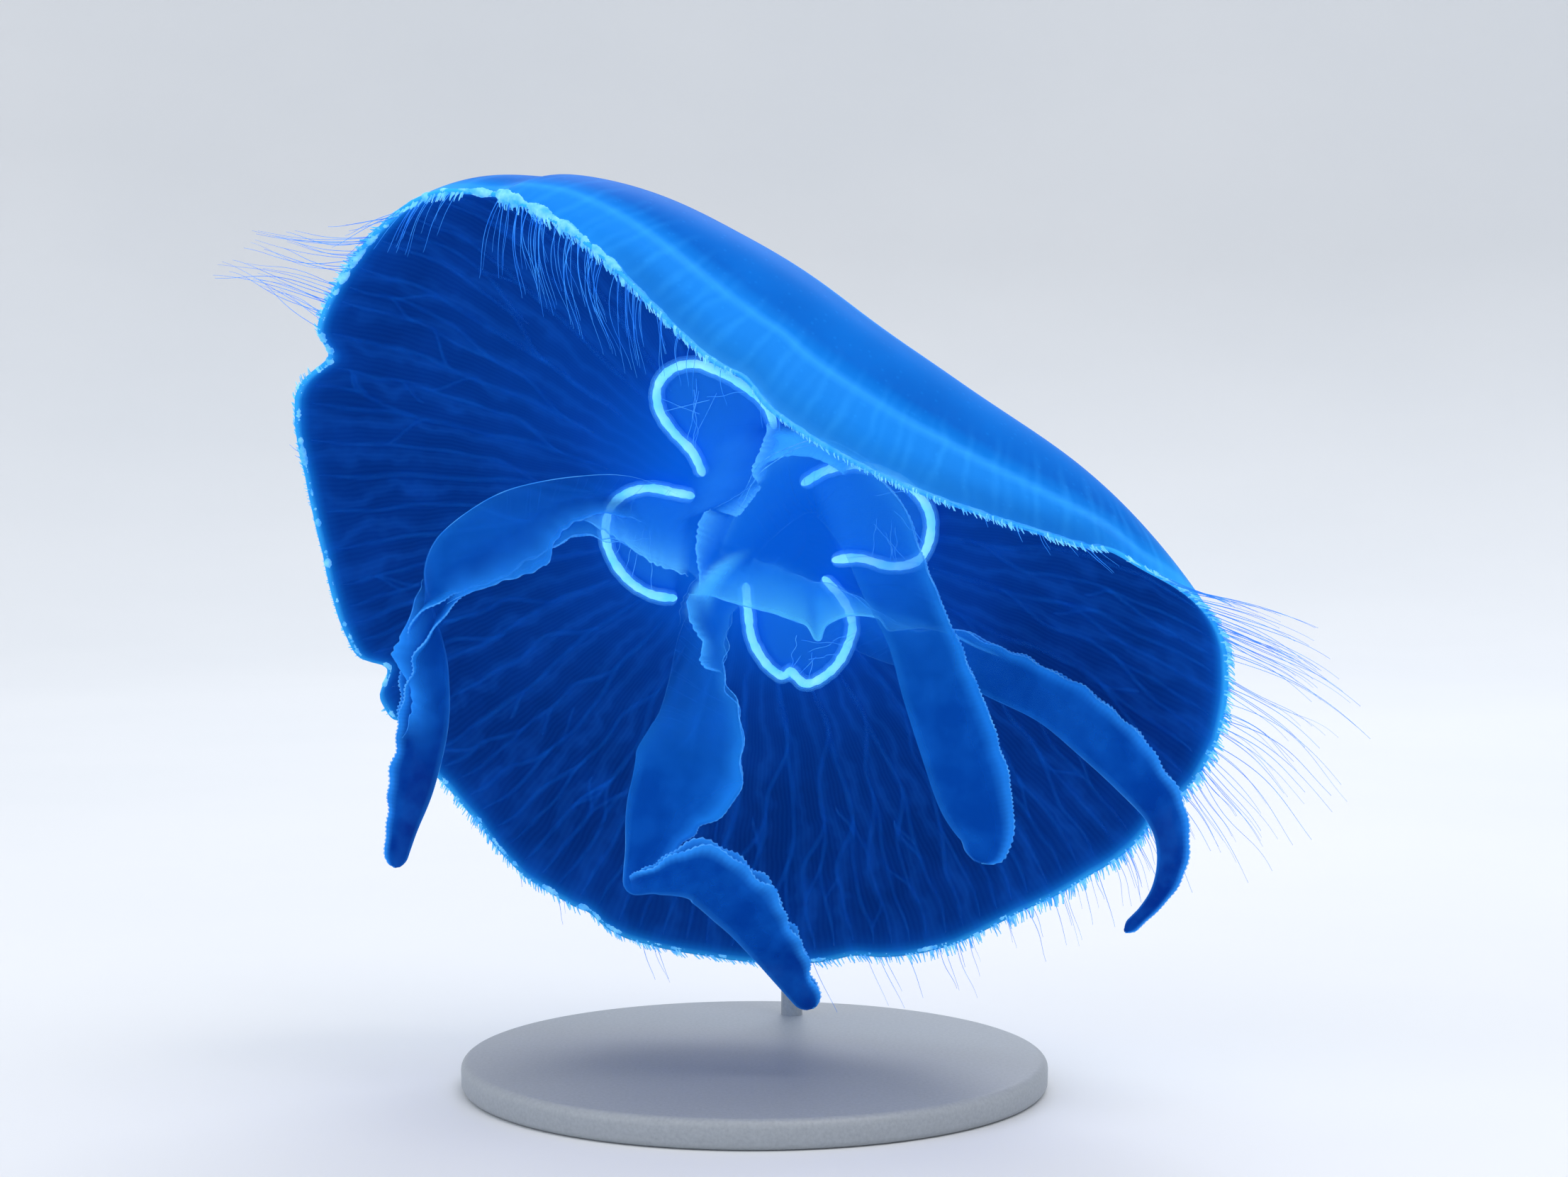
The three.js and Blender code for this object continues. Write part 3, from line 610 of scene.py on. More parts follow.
# On the folded side a soft ridge marks where the thick jelly ends and the thin margin begins.
RIDGE_SIDES = [213, 225, 235, 245, 255, 265, 275, 285, 295, 305, 313]
RIDGE = [0.985, 0.925, 0.905, 0.885, 0.865, 0.865, 0.868, 0.875, 0.90, 0.93, 0.97]
# Both lists grow lighter at the very margin: painted rim light.
LINING_STOPS = [(0, "#0460cc"), (0.2, "#045cc8"), (0.29, "#034cb0"), (0.4, "#02388e"), (0.6, "#012e7a"),
                (0.85, "#012a74"), (0.95, "#02307e"), (0.978, "#033e94"), (0.992, "#0e68c0"), (1, "#2c9ce8")]
DOME_STOPS = [(0, "#0048a6"), (0.5, "#0858b4"), (0.8, "#0c6ac4"), (0.95, "#1884d6"), (1, "#38a8ec")]
# Painted light: the folded near wall is lighter than the dome, with painted highlights along the fold's
# crest (at -0.265) and along the ridge (at 0), and painted rim light towards the margin.
WALL_LIGHT_STOPS = [(-0.42, "#0856b2"), (-0.31, "#1070c8"), (-0.265, "#2094ec"), (-0.22, "#0c6cc8"),
              (-0.05, "#0858b4"), (-0.015, "#1070cc"), (0, "#2c90ec"), (0.018, "#1c7cd8"), (0.07, "#1a78d2"),
              (0.11, "#2084dc"), (0.14, "#38a0ea")]  # places on the meridian, counted from the ridge
# Painted glow: the outside is lighter over the gonads, as if their light shone through the jelly.
GONAD_GLOW_PAINT = "#8adcff"
LINING_BODY = 0.99
JELLY_BODY = 0.95
THIN_MARGIN = (0.92, 0.995)  # near the mouth the margin clears between these places on the meridian


def lining_tone(s, phi):
    tone = tones(s, LINING_STOPS)
    shade = 1 - 0.14 * np.cos(np.radians(phi - 60)) * smooth_step(s, 0.2, 0.5)
    return tone * shade[..., None]


def outside_tone(s, phi, plan):
    """Dome, folded wall, and a painted glow where the gonads lie under the jelly."""
    dome = tones(s, DOME_STOPS)
    # The near wall's painted light and highlights, blended in over the dome by near.
    wall = tones(s - np.interp(phi, RIDGE_SIDES, RIDGE), WALL_LIGHT_STOPS)
    near = smooth_step(phi, 200, 216) * (1 - smooth_step(phi, 310, 324)) * smooth_step(s, 0.4, 0.56)
    tone = dome + (wall - dome) * near[..., None]
    away = np.full(s.shape, 99.0)
    for index in range(4):
        for point in gonad_line(index)[::4]:
            away = np.minimum(away, np.hypot(plan[..., 0] - point[0], plan[..., 1] - point[1]))
    # Painted glow over the gonads.
    painted_glow = 0.6 * np.exp(-((away / 3.2) ** 2))[..., None]
    return tinted(tone, GONAD_GLOW_PAINT, painted_glow)


def bell_skin():
    """The whole bell in one skin: the hollow's lining, the margin's round edge and the outside."""
    phi = 360 * np.arange(SKIN_COLUMNS) / SKIN_COLUMNS
    s = np.linspace(0.008, 1, SKIN_ROWS)
    around = np.broadcast_to(phi, (SKIN_ROWS, SKIN_COLUMNS))
    along = np.broadcast_to(s[:, None], around.shape)
    swell = 0.25 * np.sin(np.radians(phi * 11)) * np.sin(s[:, None] * 9) * smooth_step(s, 0.3, 0.7)[:, None]
    inner = on_bell(along, around, 0, 0.2 * swell)
    outer = on_bell(along, around, 1, -swell)
    middle, half = (inner[-1] + outer[-1]) / 2, (outer[-1] - inner[-1]) / 2
    outward = unit(inner[-1] - inner[-2]) * np.linalg.norm(half, axis=-1, keepdims=True)
    turn = (np.pi * np.arange(1, EDGE_ROWS + 1) / (EDGE_ROWS + 1))[:, None, None]
    edge = middle - half * np.cos(turn) + outward * np.sin(turn)
    rows = np.concatenate([inner, edge, outer[::-1]])
    angle = np.radians(around)
    plan = (along * lobe_value(LOBE_REACH, around))[..., None] * np.stack([np.cos(angle), np.sin(angle)], -1)
    tone_in = lining_tone(along, around)
    tone_out = outside_tone(along, around, plan)
    tone_edge = np.broadcast_to(tone_in[-1:], (EDGE_ROWS, SKIN_COLUMNS, 3))
    tone = np.concatenate([tone_in, tone_edge, tone_out[::-1]]).reshape(-1, 3)
    reach = np.concatenate([s, np.ones(EDGE_ROWS), s[::-1]])[:, None, None]
    flat = 0.5 + reach * DISC_REACH / DISC_SIZE * np.stack([np.cos(angle[0]), np.sin(angle[0])], -1)
    poles = on_bell([0.0, 0.0], [0.0, 0.0], [0.0, 1.0])
    points = np.concatenate([rows.reshape(-1, 3), poles])
    uv = np.concatenate([flat.reshape(-1, 2), [[0.5, 0.5]] * 2])
    tone = np.concatenate([tone, tone_in[0, :1], tone_out[0, :1]])
    last = len(rows) * SKIN_COLUMNS
    roof_fan = fan(0, SKIN_COLUMNS, last, flip=True)
    top_fan = fan(last - SKIN_COLUMNS, SKIN_COLUMNS, last + 1)
    quads = grid_faces(len(rows), SKIN_COLUMNS, around=True)
    split = (SKIN_ROWS + EDGE_ROWS // 2) * SKIN_COLUMNS
    thin = smooth_step(around, 232, 246) * (1 - smooth_step(around, 300, 314))
    clear = 1 - 0.4 * (thin * smooth_step(along, *THIN_MARGIN))
    clear = [LINING_BODY * clear, np.repeat(clear[-1:], EDGE_ROWS, 0), JELLY_BODY * clear[::-1]]
    body = np.append(np.concatenate(clear).ravel(), [LINING_BODY, JELLY_BODY])
    skin = Shell().add(points, [quads[:split], roof_fan])
    skin.faces += [quads[split:], top_fan]
    skin.materials += [np.ones(len(quads) - split), np.ones(SKIN_COLUMNS)]
    return skin.build("bell_skin", [lining, jelly], uv=uv, tone=tone, body=body)


JUST_INSIDE = 0.985  # a place on the meridian next to the margin


def margin_frame(phi):
    """The margin's own line and the ways it faces: straight on from the bell, and out through the jelly."""
    edge = on_bell(np.ones_like(phi), phi, 0.5)
    back = on_bell(np.full_like(phi, JUST_INSIDE), phi, 0.5)
    through = unit(on_bell(np.ones_like(phi), phi, 1) - on_bell(np.ones_like(phi), phi, 0))
    return edge, unit(edge - back), through


RIM_RADIUS = 0.6
RIM_INSET = 0.35
RIM_STATIONS = 2880
# The cord is thick at the top and fine by the mouth: sides and shares of its radius.
RIM_SIDES = [0, 60, 110, 165, 190, 212, 220, 230, 236, 250, 300, 325, 360]
RIM_SHARE = [0.9, 1.1, 1.1, 1.1, 1.3, 1.4, 2.2, 2.0, 1.3, 0.6, 0.6, 0.75, 0.9]


def margin_rim(random):
    """The bright beaded cord that runs round the margin."""
    phi = np.linspace(0, 360, RIM_STATIONS + 1)
    edge, outward, _ = margin_frame(phi)
    grain = np.convolve(random.standard_normal(len(phi) + 8), np.ones(9) / 3, mode="valid")
    drift = 0.16 * np.sin(np.radians(phi) * 23) + 0.12 * np.sin(np.radians(phi) * 41 + 1)
    radius = RIM_RADIUS * (1 + 0.24 * grain + drift).clip(0.3) * np.interp(phi, RIM_SIDES, RIM_SHARE)
    radius[-1] = radius[0]
    points, faces = tubes((edge - outward * RIM_INSET)[None], radius[None], 8)
    return Shell().add(points, faces).build("margin_rim", [rim_tissue])


# ---- Tentacles ------------------------------------------------------------------------------

# How the tentacles trail round the margin: side, right, away, up, length of the long ones, sag, share of
# long ones, and length of the short ones between them.
TENTACLE_TRAIL = np.array([
    [0, 0.5, -0.05, -1.0, 16, 3, 0.55, 2.2], [15, 0.3, -0.05, -1.0, 13, 2, 0.45, 2.6],
    [42, 0.45, -0.05, -0.9, 13, 3, 0.16, 2.2], [62, 0.7, 0.0, -0.6, 24, 5, 0.14, 1.9],
    [83, 0.3, 0.0, -1.0, 8, 1, 0.05, 2.0], [108, -0.5, 0.0, -0.8, 3, 0, 0.0, 2.0],
    [125, -1.0, 0.0, -0.2, 3, 0, 0.0, 1.2], [150, -1.0, 0.0, 0.0, 3, 0, 0.0, 0.9],
    [166, -0.6, -0.05, 0.8, 6, 0, 0.1, 1.7], [173, -0.5, 0.0, 1.0, 12, -1, 0.5, 1.9],
    [182, -0.9, 0.0, 0.62, 34, 8, 0.8, 1.9], [191, -1.0, 0.0, 0.1, 29, -2, 0.7, 2.0],
    [198, -1.0, 0.0, -0.1, 27, -4, 0.4, 2.0], [203, -0.5, -0.3, -0.9, 17, 0, 0.8, 2.2],
    [214, -0.4, -0.3, -1.0, 18, 0, 0.95, 2.6], [221, -0.1, -0.3, -1.0, 22, 0, 0.9, 2.6],
    [228, 0.15, -0.2, -1.0, 27, 0, 0.95, 2.8], [240, 0.1, -0.2, -1.0, 25, 0, 0.95, 2.6],
    [250, 0.05, -0.2, -1.0, 14, 0, 0.5, 1.8], [270, 0.1, -0.3, -1.0, 4, 0, 0.1, 1.4],
    [295, 0.3, -0.3, -1.0, 4, 0, 0.15, 1.6], [308, 0.8, -0.1, -0.4, 12, 2, 0.3, 2.2],
    [319, 1.0, 0.0, -0.05, 34, 9, 0.9, 2.2], [335, 1.0, 0.0, -0.25, 36, 12, 0.95, 2.2],
    [347, 0.85, 0.0, -0.6, 27, 8, 0.85, 2.2], [360, 0.5, -0.05, -1.0, 16, 3, 0.55, 2.2],
])
LENGTH, SAG, LONG_SHARE, SHORT_LENGTH = 4, 5, 6, 7  # columns of the table
TENTACLES = 760
TENTACLE_STATIONS = 18
STUBS = 2300
STUB_STATIONS = 6


def trail_value(phi, column):
    return np.interp(phi, TENTACLE_TRAIL[:, 0], TENTACLE_TRAIL[:, column])


def combed(random, phi, size):
    """Numbers that change slowly round the margin, as neighbours lie alike, with a little of their own."""
    slow = sum(np.sin(np.radians(phi) * rate + random.uniform(0, 6)) for rate in (17, 31, 53)) / 3
    return size * (slow + 0.35 * random.standard_normal(len(phi)))


def trailing(random, phi, length, radius, stations, ends):
    """Paths and radii of tentacles that leave the margin at phi. ends is their width at the tip."""
    edge, outward, through = margin_frame(phi)
    way = unit(np.stack([trail_value(phi, column) for column in (1, 2, 3)], -1))
    sway = unit(np.cross(way, through))
    way = way + sway * combed(random, phi, 0.13)[:, None] + through * combed(random, phi, 0.08)[:, None]
    way = unit(way)
    t = np.linspace(0, 1, stations)[None, :, None]
    reach = length[:, None, None]
    share = (length / np.maximum(trail_value(phi, LENGTH), 1))[:, None, None]
    path = edge[:, None] + outward[:, None] * reach * 0.5 * t * (1 - t) ** 1.5
    path = path + way[:, None] * reach * t
    path = path + np.array([0, 0, -1.0]) * (trail_value(phi, SAG)[:, None, None] * share * t * t)
    bend = combed(random, phi, 0.06)[:, None, None] * np.sin(np.pi * 1.5 * t)
    depth = random.uniform(-0.5, 0.5, (len(phi), 1, 1))
    path = path + sway[:, None] * reach * bend + through[:, None] * depth * (1 - t)
    steps = np.linspace(0, 1, stations)[None]
    bulb = 1 + 0.8 * np.exp(-((steps * length[:, None] / 0.7) ** 2))
    return path, radius[:, None] * (1 + (ends - 1) * steps) * bulb


def margin_tentacles(random):
    """Long tentacles, fine and combed by the current, between a fringe of short bright ones."""
    shell = Shell()
    phi = np.sort(random.uniform(0, 360, TENTACLES))
    phi = phi[(notch_depth(phi) < 1.4) & (random.uniform(0, 1, len(phi)) < trail_value(phi, LONG_SHARE))]
    length = np.maximum(trail_value(phi, LENGTH), 4) * random.uniform(0.45, 1.05, len(phi))
    radius = random.uniform(0.07, 0.12, len(phi))
    paths, radii = trailing(random, phi, length, radius, TENTACLE_STATIONS, 0.4)
    shell.add(*tubes(paths, radii, 5))
    phi = np.sort(random.uniform(0, 360, STUBS))
    phi = phi[notch_depth(phi) < 2.5]
    length = trail_value(phi, SHORT_LENGTH) * random.uniform(0.35, 1.25, len(phi))
    paths, radii = trailing(random, phi, length, np.clip(0.1 * length, 0.07, 0.24), STUB_STATIONS, 0.45)
    shell.add(*tubes(paths, radii, 5), material=1)
    return shell.build("margin_tentacles", [tentacle_tissue, rim_tissue])


# ---- Radial canals --------------------------------------------------------------------------

CANAL_TRUNKS = 32
CANAL_START = 0.33
CANAL_END = 0.975
CANAL_STATIONS = 90
CANAL_WIDTHS = (1.15, 0.75, 0.4)  # radii of the nested layers that make its edges soft
CANAL_FORKS = [(0.42, 0.54), (0.6, 0.78)]  # where on the meridian each line may fork, twice over
FINE_SPACING = 4  # degrees
FORK_SIDES = [0, 100, 150, 240, 300, 360]  # on the far left fewer lines fork a second time
FORK_SHARE = [0.9, 0.9, 0.25, 0.25, 0.9, 0.9]
WAVER_SHARE = [1, 1, 0.5, 0.5, 1, 1]  # and all of them are straighter
CANAL_LINKS = 60
ARM_ANGLE = -2  # side of the bell of one trunk and of one of the mouth's ridges


class CanalNet:
    """Lines (s, phi, size) under the roof. They waver together, as neighbours do in the living animal."""

    def __init__(self, random):
        self.random = random
        self.waves = [(size, rate, random.uniform(0, 6), random.uniform(0.6, 1.6), random.integers(2, 6))
                      for size, rate in [(1.1, 9), (0.45, 25), (0.12, 50)]]
        spacing = 360 / CANAL_TRUNKS
        level = [(CANAL_START + random.uniform(0, 0.05), ARM_ANGLE + i * 360 / CANAL_TRUNKS)
                 for i in range(CANAL_TRUNKS)]
        self.lines = [self.line(start, phi, phi, 1.0) for start, phi in level]
        for low, high in CANAL_FORKS:
            spacing /= 2
            new = []
            for start, phi in level:
                if spacing < FINE_SPACING and random.uniform() > np.interp(phi, FORK_SIDES, FORK_SHARE):
                    continue
                fork, to = random.uniform(low, high), phi + spacing + random.uniform(-0.3, 0.3)
                self.lines.append(self.line(fork, phi, to, 0.85))
                new.append((fork, to))
            level += new
        sides = sorted(phi for _, phi in level)
        for _ in range(CANAL_LINKS):
            i = random.integers(0, len(sides) - 1)
            s, t = random.uniform(0.7, 0.88), np.linspace(0, 1, 16)
            to = sides[i] + (sides[i + 1] - sides[i]) * smooth_step(t, 0, 1)
            slant = random.choice([-1, 1]) * random.uniform(0.06, 0.1)
            self.lines.append(self.wavered(s + t * slant, to, 0.7))

    def wavered(self, s, phi, size):
        shift = sum(amount * np.sin(rate * s + phase + depth * np.sin(np.radians(phi) * turns))
                    for amount, rate, phase, depth, turns in self.waves)
        return s, phi + shift * smooth_step(s, 0.3, 0.5) * np.interp(phi, FORK_SIDES, WAVER_SHARE), size

    def line(self, start, phi, to, size):
        s = np.linspace(start, CANAL_END, CANAL_STATIONS)
        own = 0.14 * np.sin(s * self.random.uniform(25, 45) + self.random.uniform(0, 6))
        return self.wavered(s, phi + (to - phi) * smooth_step(s, start, start + 0.13) + own, size)


def radial_canals(random):
    shell = Shell()
    for s, phi, size in CanalNet(random).lines:
        stations = max(16, int(CANAL_STATIONS * abs(s[-1] - s[0]) / 0.6))
        path = resample(on_bell(s, phi, 0, 0.05), stations)
        below = unit(on_bell(s[:1], phi[:1], 0, 1) - on_bell(s[:1], phi[:1], 0))
        flatten = np.repeat(below[None], stations, 1)
        t = np.linspace(0, 1, stations)
        taper = size * (1 - 0.25 * t) * np.minimum(1, 0.35 + 6 * np.minimum(t, 1 - t))
        for width in CANAL_WIDTHS:
            shell.add(*tubes(path[None], (width * taper)[None], 6, flatten))
    return shell.build("radial_canals", [canal_tissue])


# ---- Mouth and oral arms --------------------------------------------------------------------

# Each arm is a gutter: a smooth rib on one edge and two frilled lips on the other. Rows are the middle of
# the gutter from the pole (right, away, up), half its width, and its roll in degrees.
ARMS = [
    [
        [-3, -20, -10, 5, 0], [-9, -20, -8, 6, 0], [-19, -22, -1, 8.2, 0], [-32, -25, 5, 8.5, 0],
        [-45, -27, 6, 7.5, 0], [-58, -26, 2, 9, 0], [-67, -25, -3, 9.3, 0], [-75, -23, -8, 8, 5],
        [-80, -21, -14, 6.2, 35], [-83, -19, -23, 5.6, 95], [-84, -17, -37, 6, 150],
        [-85, -16, -51, 6.2, 175], [-88, -15, -66, 5.6, 180], [-91, -13, -78, 3.8, 180],
        [-93, -13, -88, 2.4, 180],
    ],
    [
        [-5, -20, -10, 4.5, 0], [-9, -21, -18, 5.2, 0], [-13, -26, -28, 6, 0], [-14, -31, -39, 7.5, 0],
        [-14, -34, -50, 11.5, 0], [-17, -35, -61, 13.5, 0], [-23, -36, -71, 9.5, 0],
        [-27, -38, -80, 5.5, -10], [-30, -41, -88, 2.4, -20], [-24, -47, -86, 3.8, 0],
        [-13, -44, -85, 7.3, 0], [-3, -39, -93, 8, 0], [4, -34, -103, 6.5, 0],
        [10, -30, -113, 4.8, 0], [15, -28, -122, 2.8, 0],
    ],
    [
        [-4, -22, -6, 5, 20], [0, -29, 1, 6, 20], [9, -39, 11, 8.5, 20], [19, -48, 13, 9, 10],
        [29, -51, 3, 9, 0], [35, -51, -11, 8.5, 0], [41, -51, -24, 8, 0], [46, -50, -38, 9, 0],
        [51, -49, -52, 9.5, 0], [55, -48, -65, 9, 0], [58, -46, -75, 6.5, 0], [57, -46, -82, 4, 0],
    ],
    [
        [-2, -19, -12, 5, 0], [9, -19, -17, 5.6, 0], [22, -24, -22, 6.3, 0], [36, -28, -29, 5, 0],
        [51, -31, -31, 5.8, 0], [62, -33, -36, 6.3, 0], [75, -36, -42, 6.5, 0], [86, -40, -50, 7, 0],
        [96, -43, -60, 6.3, 0], [103, -44, -70, 4.8, 0], [105, -43, -80, 3.8, 0],
        [102, -40, -91, 2.3, 0], [94, -36, -101, 1, 0],
    ],
]
LIP_SPREAD = 0.42
FILM = 0.3  # half the thickness of a lip's membrane
ARM_STATIONS = 420
TIP_ROUND = 3  # millimetres over which an arm's tip is rounded off
VEIN_LEAN = 26  # stations that a vein runs along the arm on its way from the rib to the lip
ACROSS = np.array([0, 0.12, 0.26, 0.4, 0.54, 0.67, 0.78, 0.87, 0.94, 1.0])  # from the rib to the lip

# The mouth's short stalk. Rows are height in the bell, radius and ridge towards each arm.
MOUTH_PROFILE = [
    [0.6, 17, 0], [-0.6, 13.5, 0], [-4, 10, 0.4], [-12, 9, 1.5], [-20, 10.5, 2.2], [-26, 8.5, 2.5],
    [-28, 5, 1.2],
]
MOUTH_ROWS = 40
MOUTH_COLUMNS = 96
MOUTH_TONE = "#1070dc"
MOUTH_BODY = 0.07

# Curtains of membrane between the mouth and the arms. Each has the density of one face, the share over which
# its ends fade, how crisp its free edge is, its colours at the line that it hangs from and at the free edge,
# and those two lines: places from the pole (right, away, up).
CURTAINS = {
    "over the upper arm": (
        0.3, 0.2, 0.3, "#2484ea", "#2c8cf0",
        [[-6.7, -15.2, 25.7], [-11.7, -15.5, 21.2], [-14.9, -15.8, 16.6], [-17.3, -16, 12.5],
         [-19.1, -16.3, 8.3], [-20, -16.5, 5.1], [-20.9, -16.6, 2.4], [-21.7, -16.8, 0.1]],
        [[4.2, -25.2, 26.8], [3.1, -25.5, 22.9], [1.7, -25.7, 19.1], [0.1, -26, 15.3], [0.3, -25.2, 12.4],
         [-2.4, -25.4, 9.8], [-6.9, -24.6, 7], [-10.7, -23.7, 5]]),
    "neck of the upper fold": (
        0.44, 0.15, 1, "#389cf6", "#60c4fe",
        [[8.9, -22.1, 27.5], [7.8, -23.4, 23.7], [6.2, -23.7, 19.6], [4.7, -23.9, 16], [3.5, -24.2, 12.4]],
        [[4, -26.1, 27.9], [3, -27.4, 23.3], [1.5, -27.7, 19.2], [-0.1, -28, 15.2], [1.5, -28.3, 11.5]]),
    "leaf of the upper fold": (
        0.4, 0.05, 1, "#2c90f2", "#64c8fe",
        [[1.2, -26.2, 11.8], [-1.2, -26.3, 10.7], [-4, -26.4, 9.3], [-7.3, -26.5, 7.5],
         [-10.9, -26.7, 5.3]],
        [[1.9, -28.3, 11.1], [0.3, -29.4, 9], [-1.5, -29.6, 6.7], [-2.9, -29.7, 4.9], [-4.2, -28.8, 3.5]]),
    "left of the mouth": (
        0.32, 0.12, 1, "#2486ea", "#54bcfe",
        [[-3.9, -21.8, 3.1], [-4.3, -21.1, 0], [-5.8, -20.3, -2.9], [-8.1, -20.4, -5.5], [-10.1, -20.6, -8],
         [-10.6, -20.9, -12], [-11, -21.2, -16.7]],
        [[-10.7, -25.7, 5.3], [-13, -26.8, 3.4], [-13.9, -27, 0.3], [-14.3, -27.3, -3.6],
         [-14.1, -28.6, -7.5], [-13.5, -28.9, -11.4], [-13.9, -29.2, -15.7]]),
    "node where the folds meet": (
        0.62, 0.4, 0, "#44b4fa", "#68ccfc",
        [[2.3, -26.4, -3.8], [-2, -26.7, -8.1], [-5.9, -27, -12.7], [-8.5, -27.4, -17.7],
         [-9.2, -27.8, -23.5]],
        [[-6.9, -29.4, -4.9], [-11.2, -29.7, -8.5], [-15.1, -30, -12.8], [-18, -30.3, -18.2],
         [-18.7, -30.8, -24.2]]),
    "above the mouth": (
        0.8, 0.12, 1, "#38aaf8", "#4cbafc",
        [[1.5, -28.8, 17.7], [5.2, -30.2, 25.9], [10.8, -32.2, 26.7], [17, -36.4, 24.1],
         [22.3, -38.6, 21.1], [26.5, -40.9, 17.1]],
        [[-0.7, -13, 13.7], [3.6, -15.5, 16.9], [8.3, -18, 18.6], [13.8, -20, 18.6], [19.1, -21, 16.8],
         [23.6, -22, 13.7]]),
    "band over the left gonad": (
        0.24, 0.15, 1, "#2488ec", "#60c8fe",
        [[-13.9, -22, 1.1], [-20.3, -22.9, 2.8], [-26.2, -23.8, 4.3], [-32.1, -24.6, 5.9],
         [-38.1, -24.6, 7.2], [-43.6, -25.5, 8.1]],
        [[-16.5, -25.9, -11.6], [-20.8, -26.8, -10], [-25.6, -27.6, -8.1], [-31.4, -28.3, -3.9],
         [-37.9, -28.1, 0.2], [-43.5, -27.9, 2.9]]),
    "leaf on the left arm": (
        0.4, 0.1, 1, "#033c96", "#2484e2",
        [[-28.4, -23.5, 8.4], [-34.6, -24.4, 9.5], [-40.9, -25.4, 9.9], [-47.1, -26.4, 9.1],
         [-52.5, -26.5, 7.5], [-57, -26.7, 5.3], [-61.4, -26.9, 2.8], [-65, -27, 0.5], [-68.6, -27.2, -1.8],
         [-73.2, -26.4, -4.9], [-77.7, -26.6, -7.6], [-82.3, -25.8, -10.6]],
        [[-28.3, -26.9, 2.3], [-32.7, -27.8, 3.6], [-38, -28.8, 4.3], [-43.3, -29.9, 3], [-47.2, -31, 0.7],
         [-50, -32.3, -2.8], [-51.4, -32.6, -7.3], [-53.3, -31.7, -9.1], [-58.5, -30.9, -11.3],
         [-64.9, -30, -13.2], [-72.1, -29.2, -16.1], [-77.6, -28.3, -18.3]]),
    "sheet at the left arm's bend": (
        0.6, 0.36, 1, "#03409a", "#2484e2",
        [[-79.4, -20.9, -12.1], [-79, -19.6, -22.8], [-79, -18.4, -33.6], [-78.8, -18.1, -44.2],
         [-78.9, -17.9, -54.9], [-80.7, -18.5, -63.9]],
        [[-84.1, -21.9, -12.8], [-87, -21.5, -20.4], [-90, -22, -27.8], [-92, -22.3, -32.3],
         [-88.5, -21.7, -38.2], [-87.2, -21.1, -43.9], [-88.2, -20.5, -49.3], [-89.9, -19.8, -53.9]]),
    "frill on the lower arm": (
        0.32, 0.12, 1, "#1060c4", "#48b4fa",
        [[-11, -28.2, -15.8], [-10.5, -30.5, -19.9], [-9.3, -32.8, -24.1], [-7.7, -35.1, -28.2],
         [-7.1, -36.3, -31.3], [-6.6, -37.5, -33.8], [-5.5, -38.6, -35.3]],
        [[-16.1, -32.2, -15.5], [-16.4, -35.5, -19.6], [-14.9, -37.7, -23.7], [-12.4, -39, -27.8],
         [-13.1, -40.3, -31.4], [-11.7, -41.4, -33.5], [-8.1, -41.5, -34.5]]),
    "skirt below the mouth": (
        0.34, 0.04, 0.8, "#2c9eee", "#5cd0fa",
        [[-14.4, -15, -14.2], [-9.3, -14.7, -10.2], [-2.4, -14.5, -6.5], [5.3, -14.5, -6.5],
         [11.1, -14.6, -8.7], [15.1, -15.8, -10.8], [17.6, -16.9, -12.2], [21.9, -19, -13.9],
         [27.7, -21.2, -16.3], [32.7, -23.4, -18.7], [39.1, -25.5, -21], [46.2, -27.7, -23.7],
         [53.7, -29, -27.2], [61.2, -30.2, -30.4]],
        [[-16.4, -23.2, -16.5], [-9.5, -26.3, -17], [-1.9, -29.4, -19.3], [6.7, -30.6, -21.4],
         [13.2, -31.7, -23.8], [16.4, -32, -27.9], [18.5, -31.8, -24.1], [23.9, -32.6, -21.2],
         [31.3, -33.6, -21.8], [34.6, -33.8, -25], [41.7, -33.8, -24.3], [49.6, -32.9, -25.8],
         [56.1, -32.1, -29.1], [62.6, -31.3, -31.7]]),
}


def arm_frame(rows):
    """Stations evenly spaced along an arm: middle, the way to the lips, the way out of the gutter, half
    width, and millimetres run."""
    fine = np.linspace(0, len(rows) - 1, 2000)
    curve = between(rows, fine)
    run = np.concatenate([[0], np.cumsum(np.linalg.norm(np.diff(curve[:, :3], axis=0), axis=1))])
    want = np.linspace(0, run[-1], ARM_STATIONS)
    place = np.interp(want, run, fine)
    row = between(rows, place)
    ahead = between(rows, np.minimum(place + 0.05, len(rows) - 1))[:, :3]
    behind = between(rows, np.maximum(place - 0.05, 0))[:, :3]
    along = unit(ahead - behind)
    away = np.array([0.0, 1.0, 0.0])
    level = unit(np.cross(along, away))
    roll = np.radians(row[:, 4:5])
    lipward = level * np.cos(roll) - away * np.sin(roll)
    lipward = unit(lipward - np.sum(lipward * along, -1, keepdims=True) * along)
    outward = np.cross(along, lipward)
    blunt = np.sqrt(np.clip(1 - ((want - want[-1] + TIP_ROUND) / TIP_ROUND).clip(0) ** 2, 0, 1))
    return POLE + row[:, :3], lipward, outward, np.maximum(row[:, 3], 1.6 * blunt) * blunt, want


def ripple(run, length, phase=0):
    return np.sin(run * 2 * np.pi / length + phase)


